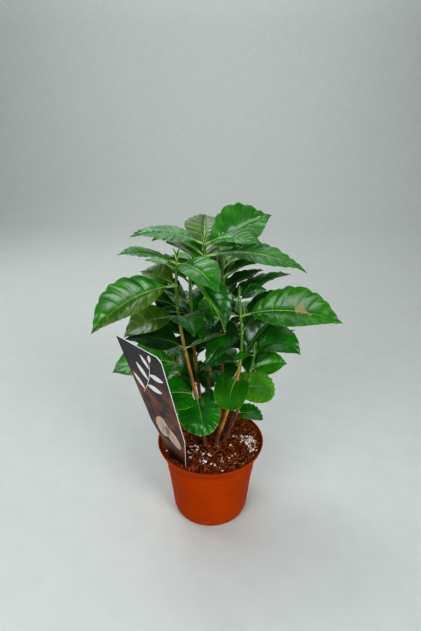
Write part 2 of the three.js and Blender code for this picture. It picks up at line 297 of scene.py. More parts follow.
@dataclass(frozen=True)
class LeafFinish(Finish):
    """A glossy leaf surface: mottled green, with a fine net of cells and a thin waxy coat."""

    roughness: float = 0.3
    coat: float = 0.16
    specular: float = 0.5
    relief: float = 0.3
    mottle: float = 16.0
    fleck: float = 1.6
    pucker: float = 5.5
    cell: float = 1.2
    gloss_patch: float = 9.0
    gloss_spread: float = 0.16
    coat_roughness: float = 0.12
    ior: float = 1.5

    def make(self) -> bpy.types.Material:
        """Make the material."""
        shader = Shader(self.name)
        broad = shader.noise(self.mottle, 2).within(0.36, 0.66)
        fine = shader.noise(self.fleck, 4)
        puckers = shader.noise(self.pucker, 2)
        net = shader.cells(self.cell).within(0.0, 0.14)
        colour = shader.mix(broad * 0.75 + fine * 0.25, self.shade, self.colour)
        shader.bump(puckers * 0.8 + fine * 0.12 + net * 0.08, self.relief)
        patches = shader.noise(self.gloss_patch, 3) * self.gloss_spread
        return shader.finish(
            Base_Color=colour,
            Roughness=patches + (self.roughness - self.gloss_spread / 2),
            Coat_Weight=self.coat,
            Coat_Roughness=self.coat_roughness,
            IOR=self.ior,
            Specular_IOR_Level=self.specular,
        )


@dataclass(frozen=True)
class BarkFinish(Finish):
    """A stem that is woody below and green above, streaked along its length."""

    young: Colour = (0.1, 0.3, 0.03)
    turn: float = 220.0
    blur: float = 26.0
    earth: Colour = srgb(104, 62, 38)
    foot: float = 108.0
    foot_blur: float = 16.0
    ragged: float = 42.0
    streak: float = 1.4
    fleck: float = 2.6
    relief: float = 0.25

    def make(self) -> bpy.types.Material:
        """Make the material."""
        shader = Shader(self.name)
        streaks = shader.noise(self.streak, 4, shader.stretched((1, 1, 0.14)))
        flecks = shader.noise(self.fleck, 3, shader.stretched((1, 1, 0.5)))
        wood = shader.mix(streaks.within(0.34, 0.64), self.shade, self.colour)
        height = shader.height() + (flecks - 0.5) * self.ragged
        clean = height.within(self.foot - self.foot_blur, self.foot + self.foot_blur)
        wood = shader.mix(clean, self.earth, wood)
        green = height.within(self.turn - self.blur, self.turn + self.blur)
        colour = shader.mix(green, wood, self.young)
        dark = flecks.within(0.56, 0.74) * (1 - green) * 0.35
        colour = shader.mix(dark, colour, self.shade)
        shader.bump(streaks * 0.7 + flecks * 0.3, self.relief)
        return shader.finish(Base_Color=colour, Roughness=0.72 - green * 0.24)


@dataclass(frozen=True)
class PlasticFinish(Finish):
    """Thin moulded plastic with a fine grain, slightly clouded, with dust along its foot."""

    dust: Colour = srgb(190, 150, 120)
    dust_height: float = 14.0
    scuffed: Colour = srgb(226, 150, 100)
    cloud: float = 34.0
    flow: float = 2.2
    grain: float = 0.55
    scuff: float = 1.1
    roughness: float = 0.44
    specular: float = 0.02
    relief: float = 0.05

    def make(self) -> bpy.types.Material:
        """Make the material."""
        shader = Shader(self.name)
        cloud = shader.noise(self.cloud, 3).within(0.3, 0.7)
        flow = shader.noise(self.flow, 3, shader.stretched((1, 1, 0.05)))
        grain = shader.noise(self.grain, 2)
        colour = shader.mix(cloud * 0.6 + flow * 0.4, self.shade, self.colour)
        foot = (1 - shader.height().within(0, self.dust_height)) * shader.noise(5, 4).within(0.4, 0.8)
        colour = shader.mix(foot * 0.22, colour, self.dust)
        scuff = shader.noise(self.scuff, 5, shader.stretched((0.12, 0.12, 1))).within(0.66, 0.8)
        colour = shader.mix(scuff * 0.1, colour, self.scuffed)
        shader.bump(grain * 0.5 + flow * 0.5, self.relief)
        rough = cloud * 0.1 + scuff * 0.1 + self.roughness
        return shader.finish(Base_Color=colour, Roughness=rough, Specular_IOR_Level=self.specular)


@dataclass(frozen=True)
class EarthFinish(Finish):
    """Damp crumbs, chips and strands of potting mix."""

    pale: Colour = srgb(138, 66, 34)
    grain: float = 1.2
    roughness: float = 0.82
    relief: float = 0.5
    specular: float = 0.01

    def make(self) -> bpy.types.Material:
        """Make the material."""
        shader = Shader(self.name)
        lumps = shader.noise(self.grain * 4, 4)
        grains = shader.noise(self.grain, 5)
        colour = shader.mix(grains.within(0.34, 0.62), self.shade, self.colour)
        colour = shader.mix(lumps.within(0.56, 0.78) * 0.6, colour, self.pale)
        shader.bump(grains, self.relief)
        damp = lumps.within(0.35, 0.7) * 0.25 + (self.roughness - 0.2)
        return shader.finish(Base_Color=colour, Roughness=damp, Specular_IOR_Level=self.specular)


@dataclass(frozen=True)
class PrintFinish(Finish):
    """A laminated print that runs from a dark head through warm brown to a dark foot."""

    warm: Colour = (0.14, 0.06, 0.03)
    head: float = 196.0
    foot: float = 104.0
    foot_blur: float = 16.0
    cloud: float = 17.0
    ragged: float = 46.0
    tooth: float = 0.3
    relief: float = 0.01
    roughness: float = 0.42
    specular: float = 0.25

    def make(self) -> bpy.types.Material:
        """Make the material."""
        shader = Shader(self.name)
        cloud = shader.noise(self.cloud, 4)
        height = shader.height() + (cloud - 0.5) * self.ragged
        brown = 1 - height.within(self.head - 24, self.head + 18)
        dark = 1 - height.within(self.foot - self.foot_blur, self.foot + self.foot_blur)
        colour = shader.mix(cloud.within(0.3, 0.7), self.shade, self.colour)
        colour = shader.mix(brown, colour, shader.mix(cloud.within(0.36, 0.66), self.warm, self.shade))
        colour = shader.mix(dark, colour, self.shade)
        shader.bump(shader.noise(self.tooth, 2), self.relief)
        rough = shader.noise(12, 2) * 0.12 + self.roughness
        return shader.finish(Base_Color=colour, Roughness=rough, Specular_IOR_Level=self.specular)


@dataclass(frozen=True)
class MattFinish(Finish):
    """A matt surface with a fine tooth, as card, ink, perlite or a painted floor has."""

    grain: float = 0.6
    roughness: float = 0.7
    relief: float = 0.05

    def make(self) -> bpy.types.Material:
        """Make the material."""
        shader = Shader(self.name)
        tooth = shader.noise(self.grain, 4)
        broad = shader.noise(self.grain * 14, 3)
        colour = shader.mix(tooth.within(0.3, 0.7) * 0.5 + broad * 0.5, self.shade, self.colour)
        shader.bump(tooth, self.relief)
        return shader.finish(Base_Color=colour, Roughness=broad * 0.1 + (self.roughness - 0.05))


class Patchwork:
    """The sheets of one piece, gathered in millimetres before Blender makes its mesh."""

    def __init__(self) -> None:
        """Start with no sheets."""
        self.points: list[np.ndarray] = []
        self.quads: list[np.ndarray] = []
        self.places: list[np.ndarray] = []
        self.tones: list[np.ndarray] = []
        self.finishes: list[Finish] = []
        self.count = 0

    def tone(self, finish: Finish) -> int:
        """Return the number of a finish in this piece, adding it if it is new."""
        if finish not in self.finishes:
            self.finishes.append(finish)
        return self.finishes.index(finish)

    def sheet(
        self,
        grid: np.ndarray,
        finishes: Finish | Sequence[Finish],
        which: np.ndarray | None = None,
        wrap: bool = False,
        flip: bool = False,
    ) -> None:
        """Add a grid of points as a sheet of four-sided faces.

        Args:
            grid: Points by row and column.
            finishes: The sheet's finish, or several that its faces choose from.
            which: For each face the number of its finish among those.
            wrap: Whether the last column joins the first.
            flip: Whether the faces look the other way.
        """
        rows, columns = grid.shape[:2]
        number = np.arange(rows * columns).reshape(rows, columns) + self.count
        if wrap:
            number = np.concatenate([number, number[:, :1]], axis=1)
        down, over = np.linspace(0, 1, rows), np.linspace(0, 1, number.shape[1])
        place = np.stack(np.meshgrid(over, down), axis=-1)
        quads = [part[..., None] for part in self._corners(number[..., None])]
        places = [part[..., None, :] for part in self._corners(place)]
        quads = np.concatenate(quads, axis=-1).reshape(-1, 4)
        places = np.concatenate(places, axis=-2).reshape(-1, 4, 2)
        if flip:
            quads, places = quads[:, ::-1], places[:, ::-1]
        own = [finishes] if isinstance(finishes, Finish) else list(finishes)
        tones = np.array([self.tone(finish) for finish in own])
        chosen = np.zeros(len(quads), int) if which is None else which.reshape(-1)
        self.points.append(grid.reshape(-1, 3))
        self.quads.append(quads)
        self.places.append(places)
        self.tones.append(tones[chosen])
        self.count += rows * columns

    @staticmethod
    def _corners(grid: np.ndarray) -> list[np.ndarray]:
        """Return what a grid holds at the four corners of each of its faces."""
        parts = [grid[:-1, :-1], grid[:-1, 1:], grid[1:, 1:], grid[1:, :-1]]
        return [part[..., 0] if part.shape[-1] == 1 else part for part in parts]

    def tube(self, points: np.ndarray, radii: np.ndarray, finish: Finish, sides: int = 6) -> None:
        """Add a closed round strand along points, with its own radius at each.

        Args:
            points: Points along its centre.
            radii: Its radius at each.
            finish: Its finish.
            sides: How many sides it has.
        """
        ahead = unit(np.gradient(points, axis=0))
        start = np.array([0.0, 0.0, 1.0]) if abs(ahead[0, 2]) < 0.9 else np.array([1.0, 0.0, 0.0])
        across = []
        for direction in ahead:
            start = unit(start - direction * np.dot(start, direction))
            across.append(start)
        across = np.array(across)
        above = np.cross(ahead, across)
        turn = turns(sides)
        ring = across[:, None] * np.cos(turn)[:, None] + above[:, None] * np.sin(turn)[:, None]
        grid = points[:, None] + ring * np.asarray(radii)[:, None, None]
        ends = [np.repeat(points[at][None, None], sides, axis=1) for at in (0, -1)]
        self.sheet(np.concatenate([ends[0], grid, ends[1]]), finish, wrap=True)

    def lump(self, centre: np.ndarray, corners: np.ndarray, finish: Finish) -> None:
        """Add a small lump with the faces of a twenty-sided solid.

        Args:
            centre: Where it lies.
            corners: Its twelve corners about that centre.
            finish: Its finish.
        """
        faces = np.concatenate([LUMP_FACES, LUMP_FACES[:, 2:]], axis=1)
        reach = corners[:, :2] - corners[:, :2].min(axis=0)
        place = reach / reach.max()
        self.points.append(corners + centre)
        self.quads.append(faces + self.count)
        self.places.append(place[faces])
        self.tones.append(np.full(len(faces), self.tone(finish)))
        self.count += len(corners)

    def build(self, name: str, sharp: float = 50.0) -> bpy.types.Object:
        """Make the piece.

        Args:
            name: The piece's name.
            sharp: The angle from which an edge between faces stays sharp.

        Returns:
            The new object, in the scene, with its finishes.
        """
        side = math.ceil(math.sqrt(len(self.quads)))
        places = []
        for at, place in enumerate(self.places):
            corner = np.array([at % side, at // side])
            places.append((place * (1 - 2 * UV_MARGIN) + UV_MARGIN + corner) / side)
        points = np.concatenate(self.points) * MM
        quads = np.concatenate(self.quads)
        corners = points[quads]
        keep = np.linalg.norm(corners - np.roll(corners, -1, axis=1), axis=2) > SAME_POINT
        whole = keep.sum(axis=1) > 2
        keep &= whole[:, None]
        sizes = keep.sum(axis=1)[whole]
        used, loops = np.unique(quads[keep], return_inverse=True)
        mesh = bpy.data.meshes.new(name)
        mesh.vertices.add(len(used))
        mesh.vertices.foreach_set("co", points[used].astype(np.float32).ravel())
        mesh.loops.add(len(loops))
        mesh.polygons.add(len(sizes))
        mesh.polygons.foreach_set("loop_start", (np.cumsum(sizes) - sizes).astype(np.int32))
        mesh.polygons.foreach_set("vertices", loops.astype(np.int32).ravel())
        mesh.polygons.foreach_set("material_index", np.concatenate(self.tones)[whole].astype(np.int32))
        mesh.update(calc_edges=True)
        layer = mesh.uv_layers.new(name=BAKE_LAYER, do_init=False)
        layer.uv.foreach_set("vector", np.concatenate(places)[keep].astype(np.float32).ravel())
        mesh.shade_smooth()
        mesh.set_sharp_from_angle(angle=math.radians(sharp))
        for finish in self.finishes:
            mesh.materials.append(finish.material())
        mesh.validate()
        piece = bpy.data.objects.new(name, mesh)
        bpy.context.scene.collection.objects.link(piece)
        return piece


def unit(vectors: np.ndarray) -> np.ndarray:
    """Return vectors at a length of one."""
    return vectors / np.maximum(np.linalg.norm(vectors, axis=-1, keepdims=True), SHORTEST)


def hand_in(piece: bpy.types.Object, nodes: Iterable[str] = ()) -> None:
    """Let a piece ride with the plant and what it stands for, and report it.

    Args:
        piece: The piece.
        nodes: The solids that it replaces.
    """
    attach(piece, BODY)
    if nodes:
        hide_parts(*nodes)
    log.info("%s: %d faces", piece.name, len(piece.data.polygons))


def rounded(corners: Sequence[tuple[float, float]], radius: float, steps: int = 4) -> list[np.ndarray]:
    """Round the inner corners of an outline.

    Args:
        corners: The outline's corners.
        radius: How far from a corner the rounding starts, at most half a side.
        steps: How many points round a corner.

    Returns:
        The outline's points.
    """
    points = [np.array(corner, float) for corner in corners]
    line = [points[0]]
    for before, corner, after in zip(points, points[1:], points[2:]):
        ends = []
        for other in (before, after):
            length = np.linalg.norm(other - corner)
            ends.append(corner + (other - corner) * min(radius, length / 2) / length)
        for share in np.linspace(0, 1, steps):
            line.append(blend(blend(ends[0], corner, share), blend(corner, ends[1], share), share))
    return [*line, points[-1]]


def turned(outline: Sequence[Sequence[float]], steps: int = 144) -> np.ndarray:
    """Turn an outline of radius and height about the Z axis into a grid of points."""
    angle = turns(steps)
    radius, height = np.array(outline).T
    level = np.outer(height, np.ones_like(angle))
    return np.stack([np.outer(radius, np.cos(angle)), np.outer(radius, np.sin(angle)), level], -1)


def bowed(
    start: tuple[float, float], end: tuple[float, float], bow: float, share: np.ndarray | float
) -> tuple[Any, Any]:
    """Return the places across and up at shares of a line that bows to the right."""
    across = blend(start[0], end[0], share) + bow * 0.42 * np.sin(np.pi * share)
    return across, blend(start[1], end[1], share)


def lump_corners() -> np.ndarray:
    """Return the twelve corners of a regular twenty-sided solid at a radius of one."""
    gold = (1 + math.sqrt(5)) / 2
    flat = [(a, b * gold, 0.0) for a in (-1, 1) for b in (-1, 1)]
    return unit(np.array([np.roll(corner, turn) for turn in range(3) for corner in flat]))


def lump_faces(corners: np.ndarray) -> np.ndarray:
    """Return the twenty faces among a regular solid's corners, each looking out."""
    near = 1.2
    gap = np.linalg.norm(corners[:, None] - corners[None], axis=-1)
    count = len(corners)
    faces = []
    for a in range(count):
        for b in range(a + 1, count):
            for c in range(b + 1, count):
                if max(gap[a, b], gap[b, c], gap[a, c]) < near:
                    outward = np.dot(np.cross(corners[b] - corners[a], corners[c] - corners[a]), corners[a])
                    faces.append((a, b, c) if outward > 0 else (a, c, b))
    return np.array(faces)


LUMP_CORNERS = lump_corners()
LUMP_FACES = lump_faces(LUMP_CORNERS)


class Tone(Enum):
    """The kinds of leaf by age and light, each with its own greens."""

    # SHADE's darkest greens are painted shade for leaves deep inside the crown.
    SHADE = "shade"
    DEEP = "deep"
    MID = "mid"
    YOUNG = "young"
    OLIVE = "olive"
    ROUND = "round"
    SMOOTH = "smooth"


@dataclass(frozen=True)
class Greens:
    """The finishes of one kind of leaf: its blade, its side veins and its margin."""

    blade: LeafFinish
    vein: LeafFinish
    margin: LeafFinish


def greens(
    name: str,
    blade: tuple[Colour, Colour],
    vein: tuple[Colour, Colour],
    margin: tuple[Colour, Colour],
    roughness: float,
    coat: float = 0.16,
    specular: float = 0.5,
) -> Greens:
    """Name the finishes of one kind of leaf.

    Args:
        name: The kind's name.
        blade: The blade's two colours.
        vein: The side veins' two colours.
        margin: The margin's two colours.
        roughness: How matt the blade is.
        coat: How strong its waxy coat is.
        specular: How much light it mirrors.

    Returns:
        The finishes.
    """
    return Greens(
        LeafFinish(f"leaf_{name}", *blade, roughness, coat, specular),
        LeafFinish(f"leaf_{name}_vein", *vein, roughness + 0.06, coat, specular),
        LeafFinish(f"leaf_{name}_margin", *margin, roughness + 0.04, coat, specular),
    )


GREENS = {
    # Painted shade: the darkest, least glossy greens, for leaves deep in the crown.
    Tone.SHADE: greens(
        "shade",
        (srgb(12, 64, 2), srgb(5, 42, 2)),
        (srgb(22, 76, 8), srgb(10, 54, 4)),
        (srgb(10, 42, 3), srgb(20, 62, 4)),
        0.45,
        0.0,
        0.2,
    ),
    Tone.DEEP: greens(
        "deep",
        (srgb(28, 104, 6), srgb(14, 72, 5)),
        (srgb(42, 118, 12), srgb(24, 90, 8)),
        (srgb(20, 66, 5), srgb(42, 100, 8)),
        0.22,
    ),
    Tone.MID: greens(
        "mid",
        (srgb(52, 127, 8), srgb(27, 95, 6)),
        (srgb(82, 147, 26), srgb(52, 118, 14)),
        (srgb(36, 90, 6), srgb(66, 128, 12)),
        0.24,
    ),
    Tone.YOUNG: greens(
        "young",
        (srgb(86, 154, 18), srgb(52, 124, 12)),
        (srgb(116, 174, 42), srgb(84, 148, 28)),
        (srgb(90, 134, 14), srgb(120, 162, 22)),
        0.28,
    ),
    Tone.OLIVE: greens(
        "olive",
        (srgb(78, 112, 16), srgb(52, 88, 10)),
        (srgb(142, 164, 78), srgb(112, 138, 50)),
        (srgb(70, 80, 12), srgb(90, 114, 18)),
        0.3,
    ),
    Tone.ROUND: greens(
        "round",
        (srgb(30, 124, 0), srgb(10, 92, 0)),
        (srgb(72, 156, 12), srgb(50, 130, 6)),
        (srgb(104, 178, 12), srgb(66, 140, 6)),
        0.18,
    ),
    Tone.SMOOTH: greens(
        "smooth",
        (srgb(48, 116, 0), srgb(28, 90, 0)),
        (srgb(72, 140, 12), srgb(50, 116, 6)),
        (srgb(96, 160, 12), srgb(60, 124, 6)),
        0.5,
        0.0,
        0.1,
    ),
}
UNDERSIDE = LeafFinish("leaf_underside", srgb(84, 134, 28), srgb(56, 108, 18), 0.5, 0.0)
UNDER_VEIN = LeafFinish("leaf_underside_vein", srgb(134, 170, 58), srgb(102, 144, 36), 0.52, 0.0)
RIB = LeafFinish("midrib", srgb(172, 204, 122), srgb(140, 182, 88), 0.42, 0.05)
# The darker midrib of deep-green leaves and of those in painted shade.
DEEP_RIB = LeafFinish("midrib_deep", srgb(100, 158, 48), srgb(66, 126, 26), 0.42, 0.05)
SCAR = EarthFinish("leaf_scar", srgb(168, 154, 118), srgb(128, 116, 78), srgb(200, 188, 160), 0.8, 0.7)

BLADE_START = 0.1
MIDRIB_STEPS = 24
RIB_STATIONS = 30
COLUMNS = np.array([0.0, 0.035, 0.11, 0.22, 0.35, 0.48, 0.61, 0.73, 0.84, 0.94, 1.0])
STEPS_BETWEEN_VEINS = 6
VEIN_HALF = 0.3
VEIN_END = 0.88
MARGIN_START = 0.93
HALF_THICKNESS = 0.17
SCALLOP = 0.06
SCALLOPED_INTERVAL = 11.0
FAN_ANGLES = (-66, -44, -22, 22, 44, 66)


@dataclass(frozen=True)
class Leaf:
    """One leaf: where it leaves the stem, how its midrib runs and how its blade opens."""

    root: tuple[float, float, float]
    heading: float
    length: float
    width: float
    rise: float
    droop: float
    fold: float
    sweep: float = 0.0
    roll: float = 0.0
    lobe: float = 0.0
    tone: Tone = Tone.MID
    seed: int = 0
    quilt: float = 0.8
    # One half may take another kind; on the curled leaf that half is painted shade beside a painted lit half.
    left_half: Tone | None = None

    def frame(self, share: np.ndarray) -> tuple[np.ndarray, np.ndarray, np.ndarray]:
        """Find the directions ahead, across and above at shares of the midrib.

        Args:
            share: Shares of the length, in any shape.

        Returns:
            The three directions at each.
        """
        pitch = np.radians(self.rise - self.droop * share)
        yaw = np.radians(self.heading + self.sweep * share)
        ahead = np.stack([np.cos(pitch) * np.cos(yaw), np.cos(pitch) * np.sin(yaw), np.sin(pitch)], -1)
        level = np.stack([np.sin(yaw), -np.cos(yaw), np.zeros_like(yaw)], -1)
        roll = math.radians(self.roll)
        across = level * math.cos(roll) + np.cross(ahead, level) * math.sin(roll)
        return ahead, across, np.cross(across, ahead)

    def midrib(self, share: np.ndarray) -> np.ndarray:
        """Return the midrib's points at shares of its length."""
        steps = (np.arange(MIDRIB_STEPS) + 0.5) / MIDRIB_STEPS
        ahead = self.frame(share[..., None] * steps)[0].mean(axis=-2)
        return np.array(self.root) + ahead * (share * self.length)[..., None]

    def half_width(self, blade: np.ndarray) -> np.ndarray:
        """Return half the blade's width at shares of the blade."""
        raise NotImplementedError

    def section(self, side: np.ndarray) -> tuple[np.ndarray, np.ndarray]:
        """Return how far out and how far up a half reaches, steep at the midrib and flatter outward."""
        start, bend = math.radians(self.fold) * 1.45, math.radians(self.fold) * 0.9
        angle = start - bend * side
        return (math.sin(start) - np.sin(angle)) / bend, (np.cos(angle) - math.cos(start)) / bend

    def place(self, blade: np.ndarray, side: np.ndarray, lift: np.ndarray | float = 0.0) -> np.ndarray:
        """Place points of the blade.

        Args:
            blade: Shares of the blade's length, below 0 on the petiole.
            side: From -1 on one margin to 1 on the other.
            lift: How far above the smooth blade each lies.

        Returns:
            The points.
        """
        share = BLADE_START + (1 - BLADE_START) * blade
        ahead, across, above = self.frame(share)
        half = self.half_width(blade)
        away = np.abs(side)
        out, up = self.section(away)
        lobed = self.lobe * self.width * (1 - share) ** 2 * away * smooth(0, 0.1, blade)
        point = self.midrib(share) - ahead * lobed[..., None]
        point += across * (np.sign(side) * out * half)[..., None]
        return point + above * (up * half + lift)[..., None]

    def shell(
        self,
        patch: Patchwork,
        blade: np.ndarray,
        side: np.ndarray,
        lift: np.ndarray,
        which: np.ndarray,
        closed: bool = False,
    ) -> None:
        """Add the blade's upper and lower surface.

        Args:
            patch: The piece that it belongs to.
            blade: Shares of the blade by row and column.
            side: Places between the margins by row and column.
            lift: The upper surface's relief.
            which: 0 for blade, 1 for vein and 2 for margin, by face, and 3 more on the left half.
            closed: Whether the last column joins the first.
        """
        tones, left = GREENS[self.tone], GREENS[self.left_half or self.tone]
        above = (tones.blade, tones.vein, tones.margin, left.blade, left.vein, left.margin)
        thin = HALF_THICKNESS * (1 - np.abs(self.rim(blade, side)) ** 8)
        upper = self.place(blade, side, lift + thin)
        lower = self.place(blade, side, lift - thin)
        patch.sheet(upper, above, which, wrap=closed)
        patch.sheet(lower, (UNDERSIDE, UNDER_VEIN, UNDERSIDE), which % 3, wrap=closed, flip=True)

    def rim(self, blade: np.ndarray, side: np.ndarray) -> np.ndarray:
        """Return how near each point is to the margin, 1 on it."""
        raise NotImplementedError

    def relief(self, blade: np.ndarray, side: np.ndarray) -> np.ndarray:
        """Return how far the blade swells at each place."""
        raise NotImplementedError

    def rib(self, patch: Patchwork, end: float = 0.985) -> None:
        """Add the petiole and the midrib that it runs on as.

        Args:
            patch: The piece that it belongs to.
            end: The share of the blade where the midrib fades.
        """
        first = -BLADE_START / (1 - BLADE_START)
        blade = np.linspace(first, end, RIB_STATIONS)
        scale = float(np.clip(self.length / 75, 0.5, 1.15))
        radii = scale * np.where(blade < 0, 1.1, 0.16 + 0.94 * (1 - np.clip(blade, 0, 1)) ** 1.1)
        sunk = self.relief(blade, np.zeros_like(blade)) - radii * 0.2 * smooth(-0.05, 0.12, blade)
        points = self.place(blade, np.zeros_like(blade), sunk)
        # Dark leaves, the painted-shade ones among them, get the darker midrib.
        patch.tube(points, radii, DEEP_RIB if self.tone in (Tone.DEEP, Tone.SHADE) else RIB, sides=8)


@dataclass(frozen=True)
class LongLeaf(Leaf):
    """A long leaf with a drawn-out tip, swollen between the side veins and waved along its margins."""

    scars: tuple[tuple[float, float, float], ...] = ()
    extra_veins: int = 0

    def half_width(self, blade: np.ndarray) -> np.ndarray:
        """Return half the blade's width at shares of the blade."""
        inside = np.clip(blade, 0, 1)
        count = np.arange(self.veins + 1)
        ends = np.clip(self.along(count, np.ones(self.veins + 1)), 0, 1)
        scallop = np.abs(np.sin(np.pi * np.interp(inside, ends, count))) ** 0.7
        outline = np.sin(np.pi * inside ** 0.92) * (1 - 0.6 * inside ** 8)
        return self.width / 2 * outline * (0.97 + SCALLOP * self.scalloped * scallop)

    @property
    def veins(self) -> int:
        """How many intervals the side veins leave on each half."""
        return int(np.clip(round(2.5 + self.length / 18), 4, 8)) + self.extra_veins

    @property
    def scalloped(self) -> float:
        """How much of a full scallop the margin has between veins, less where they stand close."""
        interval = (1 - BLADE_START) * self.length / self.veins
        return min(1.0, interval / SCALLOPED_INTERVAL) ** 2

    @property
    def starts(self) -> np.ndarray:
        """Return the shares of the blade where the side veins leave the midrib, unevenly spaced."""
        draw = random.Random(self.seed + 7)
        shift = [0.0, *(draw.uniform(-0.17, 0.17) for _ in range(self.veins - 1)), 0.0]
        return (np.arange(self.veins + 1) + shift) / self.veins

    def along(self, vein: np.ndarray, side: np.ndarray) -> np.ndarray:
        """Return the share of the blade at a place along the row of veins, which lean forward."""
        share = np.interp(vein, np.arange(self.veins + 1), self.starts)
        lean = 0.5 * share * (1 - share)
        return share + lean * (0.4 * side + 0.6 * side ** 2)

    def swell(self, vein: np.ndarray, side: np.ndarray, toward: np.ndarray) -> np.ndarray:
        """Work out the blade's relief, uneven from one interval between veins to the next.

        Args:
            vein: Places along the row of veins.
            side: Distances from the midrib, from 0 to 1.
            toward: The sign of each place's half.

        Returns:
            How far each place lies above the smooth blade.
        """
        draw = np.random.default_rng(self.seed)
        size = min(1.0, self.length / 80) * self.quilt
        swellings = draw.uniform(0.5, 1.7, (2, self.veins))
        wavings = draw.uniform(0.0, 0.95, (2, self.veins))
        phase = draw.uniform(0, 2 * math.pi, 3)
        half = (toward > 0).astype(int)
        at = np.clip(vein.astype(int), 0, self.veins - 1)
        centres = np.arange(self.veins) + 0.5
        waving = np.where(half, np.interp(vein, centres, wavings[1]), np.interp(vein, centres, wavings[0]))
        share = vein / self.veins
        fade = smooth(0, 0.16, share) * smooth(1, 0.84, share)
        groove = -0.35 * np.exp(-((side / 0.06) ** 2))
        between = (1 - np.abs(2 * (vein % 1) - 1) ** 5) ** (1 + side ** 2)
        quilting = 0.65 * swellings[half, at] * between * (1 - np.exp(-7 * side)) * (1 - 0.35 * side ** 3)
        scallop = self.scalloped * waving * np.cos(FULL_TURN * (vein - 0.5)) * side ** 3
        bend = np.where(half, phase[0], phase[1])
        broad = 1.5 * np.sin(FULL_TURN * 1.3 * share + bend) * side ** 2
        ripple = 0.3 * np.sin(FULL_TURN * 1.7 * vein + phase[2] * toward) * side ** 4
        return groove + fade * size * (quilting + scallop + broad + ripple)

    def relief(self, blade: np.ndarray, side: np.ndarray) -> np.ndarray:
        """Return how far the blade swells at each place."""
        vein = np.interp(blade, self.starts, np.arange(self.veins + 1))
        return np.where(blade > 0, self.swell(vein, np.abs(side), np.sign(side)), 0)

    def rim(self, blade: np.ndarray, side: np.ndarray) -> np.ndarray:
        """Return how near each point is to the margin, 1 on it."""
        return side

    def build(self, patch: Patchwork) -> None:
        """Add the blade, its veins and its midrib to a piece."""
        count = self.veins
        sides = np.concatenate([-COLUMNS[::-1], COLUMNS[1:]])
        away = np.abs(sides)
        interval = (1 - BLADE_START) * self.length / count
        strip = VEIN_HALF * min(1.0, self.length / 70) * (1 - 0.6 * away) / interval
        rows = []
        for at in range(count):
            for step in range(STEPS_BETWEEN_VEINS + 1):
                rows.append(at + strip + step / STEPS_BETWEEN_VEINS * (1 - 2 * strip))
        vein = np.array(rows)
        vein[0], vein[-1] = 0, count
        side = np.broadcast_to(sides, vein.shape)
        blade = np.clip(self.along(vein, np.abs(side)), 0, 1)
        lift = self.swell(vein, np.abs(side), np.sign(side))
        which = np.zeros((vein.shape[0] - 1, vein.shape[1] - 1), int)
        middle = (away[:-1] + away[1:]) / 2
        period = STEPS_BETWEEN_VEINS + 1
        which[period - 1::period, middle < VEIN_END] = 1
        which[:, middle > MARGIN_START] = 2
        which[:, :len(COLUMNS) - 1] += 3
        self.shell(patch, blade, side, lift, which)
        self.rib(patch)
        draw = random.Random(self.seed)
        for share, away, size in self.scars:
            self.scar(patch, share, away, size, draw.uniform(0, 2 * math.pi))

    def scar(self, patch: Patchwork, share: float, away: float, size: float, phase: float) -> None:
        """Add a dry blotch with a ragged outline to the blade's upper side.

        Args:
            patch: The piece that it belongs to.
            share: The share of the blade where it lies.
            away: Its place between the margins.
            size: Its radius across the blade.
            phase: Where its outline's waves start.
        """
        out, around = disc(6, 28)
        reach = out * size * (1 + 0.3 * np.sin(3 * around + phase) + 0.22 * np.sin(8 * around + 2 * phase))
        blade = share + 1.3 * reach * np.cos(around) / self.length
        side = away + reach * np.sin(around) / (self.width / 2)
        lift = self.relief(blade, side) + HALF_THICKNESS + 0.1 - 0.12 * out ** 4
        patch.sheet(self.place(blade, side, lift), SCAR, wrap=True)


